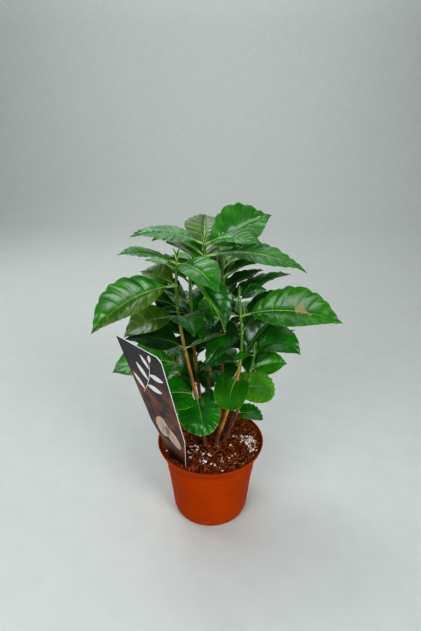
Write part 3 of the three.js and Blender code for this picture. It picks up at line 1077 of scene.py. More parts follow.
@dataclass(frozen=True)
class RoundLeaf(Leaf):
    """A round seed leaf: veins fan out from its foot, and its rim is crinkled."""

    crinkle: float = 1.0

    def half_width(self, blade: np.ndarray) -> np.ndarray:
        """Return half the blade's width at shares of the blade."""
        return self.width / 2 * np.sqrt(np.clip(1 - (2 * blade - 1) ** 2, 0, 1))

    def relief(self, blade: np.ndarray, side: np.ndarray) -> np.ndarray:
        """Return how far the blade swells at each place."""
        draw = random.Random(self.seed)
        phase = [draw.uniform(0, 2 * math.pi) for _ in range(3)]
        x = 2 * np.clip(blade, 0, 1) - 1
        y = side * np.sqrt(np.clip(1 - x ** 2, 0, 1))
        out = np.sqrt(x ** 2 + y ** 2)
        around = np.arctan2(y, x)
        fan = np.arctan2(y, x + 1.02)
        size = self.crinkle * min(1.0, self.length / 44)
        swelling = 0.55 * size * np.abs(np.sin(fan * 4.1))
        swelling = swelling * smooth(0.05, 0.6, x + 1) * smooth(1.15, 0.7, out)
        strength = 0.65 + 0.35 * np.sin(around + phase[0])
        folds = np.sin(17 * around + 1.4 * np.sin(3 * around + phase[1]))
        rim = size * strength * 0.95 * folds * smooth(0.45, 1.0, out) ** 1.5
        broad = 1.5 * size * np.sin(2 * around + phase[2]) * out ** 3
        return np.where(blade > 0, swelling + rim + broad, 0)

    def rim(self, blade: np.ndarray, side: np.ndarray) -> np.ndarray:
        """Return how near each point is to the margin, 1 on it."""
        x = 2 * blade - 1
        return np.sqrt(np.clip(x ** 2 + side ** 2 * (1 - x ** 2), 0, 1))

    def build(self, patch: Patchwork) -> None:
        """Add the blade, its veins and its midrib to a piece."""
        rings = np.concatenate([np.linspace(0, 0.84, 11), np.linspace(0.88, 1.0, 5)])
        spokes = np.linspace(-np.pi, np.pi, 120, endpoint=False)
        out, around = np.meshgrid(rings, spokes, indexing="ij")
        x, y = out * np.cos(around), out * np.sin(around)
        blade = (x + 1) / 2
        side = np.clip(y / np.sqrt(np.maximum(1 - x ** 2, SMALLEST)), -1, 1)
        which = np.zeros((len(rings) - 1, len(spokes)), int)
        which[-1:] = 2
        self.shell(patch, blade, side, self.relief(blade, side), which, closed=True)
        self.rib(patch, end=0.94)
        for angle in FAN_ANGLES:
            self.side_vein(patch, math.radians(angle))

    def side_vein(self, patch: Patchwork, angle: float) -> None:
        """Add a vein that fans out from the foot at an angle."""
        reach = np.linspace(0.03, 0.9, 18) * 2 * math.cos(angle)
        bent = angle * (1 - 0.1 * reach)
        x, y = reach * np.cos(bent) - 1, reach * np.sin(bent)
        blade, side = (x + 1) / 2, y / np.sqrt(np.maximum(1 - x ** 2, SMALLEST))
        radii = np.linspace(0.42, 0.12, len(reach)) * min(1.0, self.length / 40)
        points = self.place(blade, side, self.relief(blade, side) - radii * 0.1)
        patch.tube(points, radii, GREENS[self.tone].vein, sides=5)


STEM_STEP = 1.6
STEM_SIDES = 18
CROWN_CENTRE = (0.0, 8.0)
RULE = {
    "inward": 45, "outward": 95, "length_spread": 0.16, "width_share": 0.44,
    "rise": 32, "rise_spread": 8, "droop": 58, "droop_spread": 16, "sweep_spread": 16, "fold": 14,
}
SEED_LEAF = {"length": 38, "width": 37, "rise": 12, "droop": 40, "fold": 6, "lobe": 0.2}
BUD_LEAF = {"length": 14, "width": 4, "rise": 84, "droop": 20, "fold": 20}
BUD_SUNK = 2
FIRST_SEED = 1000
SHED = None


class Draw:
    """The seeded draws that the rule of the leaves asks for."""

    def __init__(self, seed: int) -> None:
        """Start from a seed."""
        self.state = seed

    def spread(self, reach: float) -> float:
        """Draw the next number, evenly spread about 0 over a reach."""
        self.state = (self.state * 1664525 + 1013904223) % 2 ** 32
        return reach * (self.state / 2 ** 32 - 0.5)


@dataclass(frozen=True)
class Pair:
    """A pair of opposite leaves and what differs from the rule on either. A shed leaf is None."""

    height: float
    heading: float
    first: dict[str, Any] | None = field(default_factory=dict)
    second: dict[str, Any] | None = field(default_factory=dict)

    def leaves(self) -> Iterator[tuple[float, dict[str, Any]]]:
        """Yield the heading and what is stated of each leaf that isn't shed."""
        for turn, own in ((0, self.first), (180, self.second)):
            if own is not None:
                yield self.heading + turn, own


@dataclass(frozen=True)
class Seedling:
    """One seedling: its stem from foot to tip and the pairs of leaves that it carries."""

    name: str
    foot: tuple[float, float]
    tip: tuple[float, float, float]
    bow: tuple[float, float]
    peak: float
    seed_leaves: Pair
    pairs: Sequence[Pair]
    bark: BarkFinish
    foot_radius: float = 2.2
    tip_radius: float = 1.4
    flare: float = 0.4
    flare_height: float = 4.0
    below_soil: float = 3.0

    def centre(self, height: np.ndarray | float) -> np.ndarray:
        """Return the centre of the stem at heights."""
        height = np.asarray(height, float)
        share = np.maximum((height - SOIL_TOP) / (self.tip[2] - SOIL_TOP), 0)
        swing = np.sin(np.pi * share ** self.peak)
        x = blend(self.foot[0], self.tip[0], share) + self.bow[0] * swing
        y = blend(self.foot[1], self.tip[1], share) + self.bow[1] * swing
        return np.stack([x, y, height], -1)

    def radius(self, height: np.ndarray | float) -> np.ndarray:
        """Return the stem's radius at heights, with its root flare."""
        above = np.asarray(height, float) - SOIL_TOP
        flare = 1 + self.flare * np.exp(-np.maximum(above, -1) / self.flare_height)
        return blend(self.foot_radius, self.tip_radius, above / (self.tip[2] - SOIL_TOP)) * flare

    def knots(self) -> list[float]:
        """Return the heights where leaves leave the stem."""
        return [self.seed_leaves.height, *(pair.height for pair in self.pairs)]

    def tone(self, height: float, seed: int) -> Tone:
        """Deal out a leaf's kind: young at a tip, older below, painted shade far below."""
        draw = random.Random(seed * 7 + 1).random()
        below = self.tip[2] - height
        if below < 10:
            return Tone.YOUNG if self.tip[2] > 250 else Tone.MID
        if below < 30:
            return Tone.MID if draw < 0.7 else Tone.YOUNG
        # Far below the tip most leaves take the painted-shade greens.
        if below > 70:
            return Tone.SHADE if draw < 0.7 else Tone.DEEP
        return Tone.DEEP if draw < 0.6 else Tone.MID if draw < 0.82 else Tone.OLIVE

    def long_leaves(self, number: int) -> list[LongLeaf]:
        """Grow the long leaves by the rule.

        Args:
            number: The seedling's number, which seeds its draws.

        Returns:
            The leaves, from the lowest pair up.
        """
        draw = Draw(FIRST_SEED + number)
        outward = math.atan2(self.tip[1] - CROWN_CENTRE[1], self.tip[0] - CROWN_CENTRE[0])
        made = []
        for pair in self.pairs:
            for heading, own in pair.leaves():
                turn = math.radians(own.get("heading", heading)) - outward
                facing = (1 + math.cos(turn)) / 2
                length = own.get("length")
                if length is None:
                    ruled = blend(RULE["inward"], RULE["outward"], facing)
                    length = ruled * (1 + draw.spread(RULE["length_spread"]))
                seed = number * 100 + len(made)
                facts = {
                    "root": tuple(self.centre(pair.height)),
                    "heading": heading,
                    "length": length,
                    "width": length * RULE["width_share"],
                    "rise": RULE["rise"] + draw.spread(RULE["rise_spread"]),
                    "droop": RULE["droop"] + draw.spread(RULE["droop_spread"]),
                    "fold": RULE["fold"],
                    "sweep": draw.spread(RULE["sweep_spread"]),
                    "tone": self.tone(pair.height, seed),
                    "seed": seed,
                }
                made.append(LongLeaf(**{**facts, **own}))
        return made

    def round_leaves(self, number: int) -> list[RoundLeaf]:
        """Grow the seed leaves."""
        made = []
        for heading, own in self.seed_leaves.leaves():
            seed = number * 100 + 50 + len(made)
            facts = {"root": tuple(self.centre(self.seed_leaves.height)), "heading": heading, "seed": seed}
            made.append(RoundLeaf(**{"tone": Tone.ROUND, **facts, **SEED_LEAF, **own}))
        return made

    def stem(self) -> bpy.types.Object:
        """Build the stem with its knots, furrows and leaf scars."""
        patch = Patchwork()
        draw = random.Random(self.name)
        phase = [draw.uniform(0, 2 * math.pi) for _ in range(6)]
        heights = np.arange(SOIL_TOP - self.below_soil, self.tip[2] + 0.1, STEM_STEP)
        angle = turns(STEM_SIDES)
        height, around = np.meshgrid(heights, angle, indexing="ij")
        woody = smooth(self.bark.turn + 20, self.bark.turn - 40, height)
        twist = height * 0.012
        furrow = 0.05 * np.sin(5 * around + phase[0] + twist)
        furrow = furrow + 0.04 * np.sin(9 * around + phase[1] - height * 0.21)
        cracks = -0.07 * np.clip(np.sin(7 * around + phase[2] + 0.5 * np.sin(height * 0.35)), 0, 1) ** 4
        lumps = 0.05 * np.sin(height * 0.19 + phase[3]) * np.sin(2 * around + phase[4])
        relief = 1 + lumps + furrow * (0.35 + 0.65 * woody) + cracks * woody
        for knot in self.knots():
            away = (height - knot) / 1.5
            relief += 0.24 * np.exp(-away ** 2) + 0.09 * np.exp(-(((height - knot + 3.2) / 0.6) ** 2))
        radius = self.radius(height) * relief
        centre = self.centre(height)
        spread = np.stack([np.cos(around), np.sin(around), np.zeros_like(around)], -1)
        grid = centre + spread * radius[..., None]
        cap = np.repeat(self.centre(self.tip[2] + 0.8)[None, None], len(angle), axis=1)
        patch.sheet(np.concatenate([grid, cap]), self.bark, wrap=True)
        return patch.build(f"bark_{self.name}")

    def build(self, number: int, buds: Patchwork) -> None:
        """Build the seedling's stem and leaves, and add its buds to a shared piece.

        Args:
            number: The seedling's number, which seeds its draws.
            buds: The piece that all buds belong to.
        """
        hand_in(self.stem(), (f"stem_{self.name}", f"shoot_{self.name}"))
        leaves, seeds = Patchwork(), Patchwork()
        for leaf in self.long_leaves(number):
            leaf.build(leaves)
        for leaf in self.round_leaves(number):
            leaf.build(seeds)
        hand_in(leaves.build(f"leaves_{self.name}", 80), [f"foliage_{self.name}"])
        hand_in(seeds.build(f"round_leaves_{self.name}", 80), [f"seed_leaves_{self.name}"])
        self.buds(number, buds)

    def buds(self, number: int, patch: Patchwork) -> None:
        """Add the two folded leaves at the tip and the small scales between each pair of petioles."""
        heading = self.pairs[-1].heading + 90
        root = tuple(self.centre(self.tip[2] - BUD_SUNK))
        for turn in (0, 180):
            LongLeaf(
                root=root, heading=heading + turn, tone=Tone.YOUNG, seed=number * 100 + 90 + turn // 180,
                quilt=0.4, **BUD_LEAF,
            ).build(patch)
        for pair in self.pairs:
            for turn in (90, 270):
                self.scale(patch, pair.height, math.radians(pair.heading + turn))

    def scale(self, patch: Patchwork, height: float, heading: float) -> None:
        """Add one pointed scale on the stem at a height and heading."""
        ahead = np.array([math.cos(heading), math.sin(heading), 0])
        reach = float(self.radius(height)) * 1.1
        shares = np.linspace(0, 1, 5)
        points = self.centre(height) + ahead * (reach + 0.7 * shares[:, None] ** 2)
        points[:, 2] += 3.0 * shares
        patch.tube(points, 0.75 * (1 - shares) ** 0.8 + 0.05, RIB, sides=5)


class Bark(Enum):
    """The kinds of stem that the clump shows."""

    TAN = "tan"
    YELLOW = "yellow"
    GREEN = "green"
    GREY = "grey"


BARKS = {
    Bark.TAN: BarkFinish("bark_tan", srgb(186, 130, 62), srgb(126, 78, 32), srgb(80, 126, 24), 232, 30),
    Bark.YELLOW: BarkFinish("bark_yellow", srgb(206, 150, 60), srgb(150, 96, 36), srgb(92, 138, 26), 190, 30),
    Bark.GREEN: BarkFinish("bark_green", srgb(150, 104, 56), srgb(96, 60, 32), srgb(62, 108, 20), 150, 30),
    Bark.GREY: BarkFinish("bark_grey", srgb(140, 92, 56), srgb(80, 47, 29), srgb(70, 108, 22), 205, 30),
}

SEEDLINGS = [
    Seedling(
        name="left",
        foot=(-6, -8),
        tip=(-31.5, -10, 308),
        bow=(-7, 0),
        peak=2,
        seed_leaves=Pair(
            156, 284,
            dict(length=48, width=46, rise=-5, droop=44, roll=26, lobe=0.44, crinkle=2.2),
            dict(heading=193, length=44, width=42, rise=27, droop=40, roll=-30, lobe=0.3),
        ),
        pairs=[
            # The first leaf here takes the painted-shade greens, deep inside the crown.
            Pair(
                213, 192,
                dict(rise=40, droop=50, length=64, width=42, roll=-20, tone=Tone.SHADE),
                dict(heading=352, rise=30, droop=10, length=47, width=17, tone=Tone.OLIVE),
            ),
            Pair(
                247, 290,
                dict(rise=36, droop=60, length=60, width=36, tone=Tone.DEEP),
                dict(heading=196, rise=16, droop=60, length=60, width=36, roll=-25, tone=Tone.OLIVE),
            ),
            Pair(258, 168, dict(rise=35, droop=50, length=42, width=24), SHED),
            Pair(
                281, 214,
                dict(
                    rise=10, droop=55, length=97, width=42, roll=-38, fold=28, tone=Tone.MID,
                    left_half=Tone.OLIVE, quilt=1.1,
                ),
                dict(heading=155, rise=28, droop=30, length=42, width=32, roll=-15, tone=Tone.OLIVE),
            ),
            Pair(
                303, 197,
                dict(
                    rise=36, droop=42, length=58, width=32, roll=-4, fold=6, tone=Tone.MID, quilt=1.0,
                    extra_veins=3,
                ),
                dict(heading=309, rise=20, droop=60, length=68, width=36, roll=10, tone=Tone.MID),
            ),
            Pair(269, 120, dict(rise=35, droop=50, length=40, width=24), SHED),
        ],
        bark=BARKS[Bark.TAN],
    ),
    Seedling(
        name="middle",
        foot=(1, 3),
        tip=(-6, 5, 321),
        bow=(0, 0),
        peak=1,
        seed_leaves=Pair(154, 106, dict(length=30, width=20, rise=50, droop=50), SHED),
        pairs=[
            Pair(178, 296, dict(rise=25, droop=50, length=38), dict(heading=240, length=26)),
            Pair(
                205, 172,
                dict(rise=25, droop=50, length=52, width=27),
                dict(heading=8, length=38, width=24),
            ),
            Pair(
                238, 262,
                dict(rise=20, droop=60, length=40),
                dict(heading=325, length=44, rise=10, droop=50),
            ),
            Pair(262, 284, dict(rise=20, droop=90, length=42, width=26), SHED),
            # The curled leaf: its yellow-green half is painted light on the lit flange, and its deep half is
            # painted shade on the inner fold.
            Pair(
                285, 250,
                dict(
                    rise=15, droop=95, length=78, width=38, fold=45, sweep=100, tone=Tone.YOUNG,
                    left_half=Tone.DEEP,
                ),
                dict(heading=92, length=64),
            ),
            Pair(
                306, 346,
                dict(
                    rise=20, droop=48, length=102, width=40, roll=10, fold=4, tone=Tone.MID, quilt=0.8,
                    extra_veins=1,
                ),
                dict(heading=142, length=74, width=36, rise=34, droop=60),
            ),
            Pair(
                312, 92,
                dict(rise=38, droop=30, length=62, width=42, tone=Tone.OLIVE, extra_veins=2),
                dict(heading=26, rise=33, droop=24, length=80, width=50, roll=36, quilt=1.3, tone=Tone.MID),
            ),
            Pair(
                318, 188,
                dict(
                    rise=32, droop=48, length=73, width=40, roll=-8, fold=3, tone=Tone.MID, quilt=1.0,
                    extra_veins=3,
                ),
                dict(
                    heading=336, rise=34, droop=60, length=64, width=32, roll=8, fold=4, tone=Tone.MID,
                    quilt=0.9, extra_veins=3,
                ),
            ),
            Pair(296, 132, dict(rise=35, droop=50, length=70, width=34), SHED),
            Pair(288, 96, dict(rise=35, droop=50, length=76, width=38), SHED),
        ],
        bark=BARKS[Bark.GREY],
    ),
    Seedling(
        name="right",
        foot=(6, -7),
        tip=(28, -5, 268),
        bow=(12, 1),
        peak=1.2,
        seed_leaves=Pair(
            173, 252,
            dict(length=42, width=36, rise=24, droop=105, lobe=0.3, crinkle=0.25, tone=Tone.SMOOTH),
            SHED,
        ),
        pairs=[
            Pair(
                194, 190,
                dict(length=46, rise=30, droop=70, width=28, tone=Tone.DEEP),
                dict(heading=32, length=88, rise=58, droop=50, width=38, roll=40, tone=Tone.DEEP),
            ),
            Pair(
                228, 215,
                dict(length=52, rise=0, droop=60, width=34, tone=Tone.DEEP),
                dict(heading=35, rise=52, droop=40, length=68),
            ),
            Pair(
                247, 337,
                dict(
                    rise=27, droop=45, length=102, width=48, roll=40, fold=24, tone=Tone.MID, quilt=1.1,
                    scars=((0.53, -0.16, 3.8), (0.58, 0.0, 4.4), (0.65, 0.1, 3.0), (0.49, -0.38, 1.6)),
                ),
                dict(heading=171, rise=16, length=34),
            ),
            Pair(
                264, 348,
                dict(rise=50, droop=50, length=31, width=20, roll=25, tone=Tone.DEEP, quilt=1.2),
                dict(heading=168, length=24),
            ),
        ],
        bark=BARKS[Bark.YELLOW],
    ),
    Seedling(
        name="back",
        foot=(10, 9),
        tip=(12, 30, 294),
        bow=(2, 2),
        peak=1,
        seed_leaves=Pair(156, 88, dict(rise=45, droop=50), SHED),
        pairs=[
            Pair(185, 300, dict(length=24, width=12), dict(heading=110, length=54)),
            Pair(215, 93, dict(length=88), dict(heading=285, length=36)),
            Pair(245, 15, dict(rise=38, droop=30, length=82, width=34), dict(heading=100, length=80)),
            Pair(262, 22, dict(rise=34, droop=30, length=52, width=26), SHED),
            Pair(276, 24, dict(rise=35, droop=50, length=76, width=38), SHED),
            Pair(285, 75, dict(length=90), dict(heading=40, length=80)),
            Pair(269, 72, dict(rise=35, droop=50, length=76, width=38), SHED),
            Pair(213, 0, dict(rise=60, droop=60, length=40, width=24), SHED),
            Pair(248, 72, dict(rise=60, droop=60, length=40, width=24), SHED),
        ],
        bark=BARKS[Bark.GREY],
    ),
    Seedling(
        name="back_left",
        foot=(-5, 12),
        tip=(-22, 34, 282),
        bow=(-4, 3),
        peak=1,
        seed_leaves=Pair(150, 122, dict(rise=45, droop=50), SHED),
        pairs=[
            Pair(180, 105, dict(length=60), dict(heading=48, rise=60, droop=60, length=72, width=36)),
            Pair(205, 172, dict(length=76), dict(heading=118, length=85)),
            Pair(212, 72, dict(rise=60, droop=60, length=76, width=38), SHED),
            Pair(232, 185, dict(length=46), dict(heading=122, length=82)),
            Pair(262, 60, dict(length=50), SHED),
            Pair(268, 138, dict(rise=35, droop=50, length=74, width=36), SHED),
            Pair(278, 116, dict(length=60), dict(heading=190, length=50)),
            Pair(280, 238, dict(rise=52, droop=40, length=50, width=30), SHED),
            Pair(200, 144, dict(rise=60, droop=60, length=76, width=38), SHED),
            Pair(245, 150, dict(rise=30, droop=50, length=70, width=36), SHED),
        ],
        bark=BARKS[Bark.TAN],
    ),
    Seedling(
        name="far_left",
        foot=(-13, 1),
        tip=(-36, 8, 190),
        bow=(-4, 0),
        peak=1,
        seed_leaves=Pair(130, 175, dict(length=40, width=38), SHED),
        pairs=[
            Pair(159, 96, dict(rise=35, droop=50, length=76, width=38), SHED),
            Pair(173, 142, dict(length=56), SHED),
            Pair(
                185, 178,
                dict(rise=20, droop=58, length=76, width=42, roll=-30, tone=Tone.MID),
                dict(heading=252, length=42, width=28),
            ),
        ],
        bark=BARKS[Bark.TAN],
    ),
    Seedling(
        name="far_right",
        foot=(15, -1),
        tip=(46, -8, 208),
        bow=(4, 0),
        peak=1,
        seed_leaves=Pair(130, 355, dict(rise=10, length=30, width=30), SHED),
        pairs=[
            Pair(173, 72, dict(rise=60, droop=60, length=56, width=32), SHED),
            Pair(
                186, 350,
                dict(rise=40, droop=50, length=40, width=30, roll=35),
                dict(heading=30, rise=62, droop=60, length=68, width=34),
            ),
            Pair(
                204, 335,
                dict(rise=75, droop=125, length=60, width=40, roll=20, tone=Tone.DEEP),
                dict(heading=215, length=30, width=13),
            ),
        ],
        bark=BARKS[Bark.GREEN],
    ),
    Seedling(
        name="back_right",
        foot=(20, 9),
        tip=(38, 36, 216),
        bow=(2, 0),
        peak=1,
        seed_leaves=Pair(
            145, 10,
            dict(length=46, width=46, roll=25, tone=Tone.YOUNG),
            dict(heading=95, length=36, width=36),
        ),
        pairs=[
            Pair(172, 125, dict(rise=10, droop=50, length=70, width=36), SHED),
            Pair(185, 55, dict(length=80), dict(heading=105, length=75)),
            Pair(212, 10, dict(length=75, roll=20), dict(heading=85, length=80)),
            Pair(196, 40, dict(rise=40, droop=50, length=60, width=32), SHED),
        ],
        bark=BARKS[Bark.GREY],
    ),
]


@dataclass(frozen=True)
class Pot:
    """The nursery pot: a thin tapering wall, a grooved band and a flared lip."""

    rim_radius: float = 60.0
    height: float = 93.0
    band_radius: float = 52.4
    band_top: float = 80.0
    band_bulge: float = 71.5
    band_bottom: float = 58.5
    shoulder_radius: float = 49.2
    heel_radius: float = 43.6
    heel_height: float = 6.0
    base_radius: float = 38.5
    ridge: float = 0.9
    flare_bulge: tuple[float, float] = (2.1, 1.1)
    bead: float = 0.45
    wall: float = 1.5
    floor_top: float = 2.4
    base_recess: float = 1.2
    base_ring: tuple[float, float] = (5.0, 3.6)
    lip: float = 0.7
    lip_inset: float = 0.4
    rounding: float = 0.9
    speck_height: float = 35.0
    speck_heading: float = -2.13
    speck_radius: float = 1.3
    finish: PlasticFinish = PlasticFinish("terracotta_plastic", srgb(174, 63, 0), srgb(158, 53, 0))
    # The inside is a darker copy of the outside plastic: painted shade on the inner wall and floor.
    inside: PlasticFinish = PlasticFinish("terracotta_inside_painted_shade", srgb(134, 54, 22), srgb(96, 38, 18))
    mark: MattFinish = MattFinish("pot_speck", srgb(110, 22, 10), srgb(90, 16, 8))

    def side(self, inset: float) -> list[tuple[float, float]]:
        """Return the wall from the heel to the lip as radius and height, moved in by an inset."""
        flare_radius = (self.band_radius + self.rim_radius) / 2 + self.flare_bulge[0]
        flare_height = (self.band_top + self.height) / 2 + self.flare_bulge[1]
        step = self.shoulder_radius + self.ridge
        groove, bulge, bead = self.band_radius - self.ridge, self.band_bulge, self.bead
        line = [
            (self.heel_radius, self.heel_height),
            (self.shoulder_radius, self.band_bottom - self.ridge),
            (step, self.band_bottom),
            (step - bead, self.band_bottom + 2 * bead),
            (groove - bead, bulge - 3 * bead),
            (groove + bead / 2, bulge - bead),
            (groove + bead / 2, bulge + bead),
            (groove - bead, bulge + 3 * bead),
            (self.band_radius, self.band_top),
            (flare_radius, flare_height),
            (self.rim_radius - self.lip_inset, self.height - self.wall),
        ]
        return [(radius - inset, height) for radius, height in line]

    def build(self) -> None:
        """Build the pot with its rounded lip, its recessed underside and its wall inside."""
        patch = Patchwork()
        heel = ((self.base_radius + 3 * self.heel_radius) / 4, self.heel_height * 0.3)
        ring_inside, ring_outside = (self.base_radius - inset for inset in self.base_ring)
        below = [(0, self.base_recess), (ring_inside, self.base_recess), (ring_outside, 0)]
        crest = (self.rim_radius - self.wall / 2, self.height)
        lip = [(self.rim_radius, self.height - self.lip), (self.rim_radius, self.height), crest]
        outside = [*below, (self.base_radius, 0), heel, *self.side(0), *lip]
        inner = [crest, (self.rim_radius - self.wall, self.height), *reversed(self.side(self.wall))]
        inside = [*inner, (self.base_radius, self.floor_top), (0, self.floor_top)]
        patch.sheet(turned(rounded(outside, self.rounding)), self.finish, wrap=True, flip=True)
        # The inside sheet takes the darker plastic, painted shade.
        patch.sheet(turned(rounded(inside, self.rounding)), self.inside, wrap=True, flip=True)
        self.add_speck(patch)
        hand_in(patch.build("nursery_pot", 60), ["pot"])

    def add_speck(self, patch: Patchwork) -> None:
        """Add the small dark speck on the wall's front."""
        rise = (self.speck_height - self.heel_height) / (self.band_bottom - self.heel_height)
        radius = blend(self.heel_radius, self.shoulder_radius, rise) + 0.06
        out, around = disc(5, 20)
        reach = out * self.speck_radius * (1 + 0.22 * np.sin(3 * around + 1) + 0.1 * np.sin(7 * around))
        angle = self.speck_heading + reach * np.cos(around) / radius
        level = self.speck_height + reach * np.sin(around)
        lift = radius + 0.1 * (1 - out ** 2)
        grid = np.stack([lift * np.cos(angle), lift * np.sin(angle), level], -1)
        patch.sheet(grid, self.mark, wrap=True)


@dataclass(frozen=True)
class Soil:
    """The potting mix: a lumpy bed with perlite, bark bits, strands and crumbs on it."""

    pot: Pot
    clearance: float = 0.3
    lump: float = 1.5
    bank: float = 2.8
    floor: float = 3.0
    spokes: int = 200
    seed: int = 41
    perlite_beds: tuple[tuple[float, float, float, int], ...] = (
        (42.0, 4.0, 7.5, 64), (46.5, -4.0, 6.0, 38), (47.0, -14.0, 6.0, 20), (-8.0, -27.0, 11.0, 16),
        (-20.0, -16.0, 8.0, 14), (24.0, -34.0, 13.0, 7), (8.0, -44.0, 9.0, 5), (0.0, 0.0, 54.0, 60),
    )
    finish: EarthFinish = EarthFinish("soil_bed_mix", srgb(132, 66, 32), srgb(46, 19, 8), srgb(184, 110, 66))
    crumb_tones: tuple[EarthFinish, ...] = (
        EarthFinish("crumb_dark", srgb(58, 19, 6), srgb(24, 8, 3)),
        EarthFinish("crumb_red", srgb(172, 84, 34), srgb(108, 42, 12)),
        EarthFinish("crumb_brown", srgb(140, 60, 22), srgb(66, 24, 8)),
    )
    chip_tones: tuple[EarthFinish, ...] = (
        EarthFinish("bark_chip", srgb(128, 58, 26), srgb(72, 30, 12), srgb(164, 92, 48), 1.6, 0.75),
        EarthFinish("bark_chip_dark", srgb(66, 30, 14), srgb(30, 13, 7), srgb(96, 50, 28), 1.6, 0.7),
    )
    strand_tones: tuple[EarthFinish, ...] = (
        EarthFinish("coir_strand", srgb(190, 120, 76), srgb(134, 76, 44), srgb(214, 158, 112), 2.0, 0.6),
        EarthFinish("coir_strand_dark", srgb(84, 44, 28), srgb(50, 26, 18), srgb(110, 66, 44), 2.0, 0.6),
    )
    perlite: MattFinish = MattFinish("perlite", srgb(252, 242, 232), srgb(222, 200, 186), 0.5, 0.75, 0.2)

    @property
    def radius(self) -> float:
        """The bed's radius where it is banked up against the pot's wall."""
        radii, heights = np.array(self.pot.side(self.pot.wall)).T
        return float(np.interp(SOIL_TOP + self.bank, heights, radii)) - self.clearance

    def level(self, x: float, y: float) -> float:
        """Return the bed's height at a place."""
        near = math.exp(-((x - 4) ** 2 + (y - 1) ** 2) / 400)
        lumps = noise.fractal(Vector((x / 7.0, y / 7.0, 3.1)), 1.0, 2.1, 4)
        grit = noise.noise(Vector((x / 1.7, y / 1.7, 8.3)))
        bank = self.bank * float(smooth(0.78, 1, math.hypot(x, y) / self.radius))
        return SOIL_TOP - 0.5 + 1.4 * near + bank + self.lump * lumps + 0.45 * grit

    def build(self) -> None:
        """Build the bed and what lies on it."""
        patch = Patchwork()
        out = np.linspace(0, 1, 84) ** 0.8 * self.radius
        around = turns(self.spokes)
        reach, angle = np.meshgrid(out, around, indexing="ij")
        x, y = reach * np.cos(angle), reach * np.sin(angle)
        heights = np.vectorize(self.level)(x, y)
        patch.sheet(np.stack([x, y, heights], -1), self.finish, wrap=True)
        inset = self.pot.wall + self.clearance
        wall = [corner for corner in self.pot.side(inset) if corner[1] < SOIL_TOP]
        below = turned([(0, self.floor), (self.pot.base_radius - inset, self.floor), *wall], self.spokes)
        edge = np.stack([x[-1], y[-1], heights[-1]], -1)[None]
        patch.sheet(np.concatenate([below, edge]), self.finish, wrap=True, flip=True)
        hand_in(patch.build("soil_bed", 70), ["soil"])
        draw = random.Random(self.seed)
        self.crumbs(draw)
        self.chips(draw)
        self.strands(draw)
        self.grains(draw)

    def spot(
        self, draw: random.Random, x: float = 0, y: float = 0, reach: float = 57
    ) -> tuple[float, float] | None:
        """Draw a place within reach of a point, or None where it falls outside the bed."""
        out, angle = math.sqrt(draw.random()) * reach, draw.uniform(0, 2 * math.pi)
        x, y = x + out * math.cos(angle), y + out * math.sin(angle)
        return (x, y) if math.hypot(x, y) < self.radius - 1.2 else None

    @staticmethod
    def rough(draw: random.Random, size: Sequence[float], jitter: float) -> np.ndarray:
        """Return the corners of a rough lump of a size, turned at random."""
        shape = np.array([[draw.uniform(1 - jitter, 1 + jitter) for _ in range(3)] for _ in LUMP_CORNERS])
        turn = Euler([draw.uniform(-0.5, 0.5), draw.uniform(-0.5, 0.5), draw.uniform(0, 6.28)]).to_matrix()
        return (LUMP_CORNERS * shape * np.array(size)) @ np.array(turn).T

    def scatter(
        self, name: str, count: int, tones: Sequence[Finish], sizes: tuple[float, float],
        flat: tuple[float, float, float], draw: random.Random, sharp: float,
    ) -> None:
        """Scatter rough lumps over the bed as one piece.

        Args:
            name: The piece's name.
            count: How many lumps are tried.
            tones: The finishes that they are dealt.
            sizes: The least and the largest radius.
            flat: Each side's share of that radius.
            draw: The random draws.
            sharp: The angle from which their edges stay sharp.
        """
        patch = Patchwork()
        for _ in range(count):
            size = blend(*sizes, draw.random() ** 2)
            spot = self.spot(draw)
            shape = self.rough(draw, [size * side for side in flat], 0.28)
            tone = draw.choice(tones)
            if spot:
                patch.lump(np.array([*spot, self.level(*spot) + size * flat[2] * 0.3]), shape, tone)
        hand_in(patch.build(name, sharp))

    def crumbs(self, draw: random.Random) -> None:
        """Scatter crumbs of peat."""
        self.scatter("soil_crumbs", 2000, self.crumb_tones, (0.45, 1.7), (1, 0.85, 0.7), draw, 60)

    def chips(self, draw: random.Random) -> None:
        """Scatter chips of bark."""
        self.scatter("soil_chips", 210, self.chip_tones, (1.2, 3.0), (1, 0.5, 0.24), draw, 25)

    def strands(self, draw: random.Random, count: int = 620) -> None:
        """Lay curved strands of coir over the bed."""
        patch = Patchwork()
        for _ in range(count):
            spot, tone = self.spot(draw), draw.choice(self.strand_tones)
            heading, bend = draw.uniform(0, 6.28), draw.uniform(-0.5, 0.5)
            length, arch = draw.uniform(3, 11), draw.uniform(0.1, 1.3)
            width = draw.uniform(0.16, 0.4)
            if spot is None:
                continue
            points = []
            x, y = spot
            for step in np.linspace(0, 1, 8):
                if math.hypot(x, y) > self.radius - 0.8:
                    break
                points.append((x, y, self.level(x, y) + 0.5 + arch * math.sin(math.pi * step)))
                x += math.cos(heading) * length / 7
                y += math.sin(heading) * length / 7
                heading += bend
            if len(points) > 3:
                shares = np.linspace(-1, 1, len(points))
                patch.tube(np.array(points), width * (1.1 - shares ** 2 * 0.6), tone, sides=4)
        hand_in(patch.build("soil_strands", 70))

    def grains(self, draw: random.Random) -> None:
        """Scatter grains of perlite, dense where the photograph shows beds of them."""
        patch = Patchwork()
        for x, y, reach, count in self.perlite_beds:
            for _ in range(count):
                size = blend(0.6, 1.9, draw.random() ** 1.6)
                shape = self.rough(draw, [size, size * 0.85, size * 0.7], 0.3)
                spot = self.spot(draw, x, y, reach)
                if spot:
                    patch.lump(np.array([*spot, self.level(*spot) + size * 0.3]), shape, self.perlite)
        hand_in(patch.build("perlite_grains", 40))


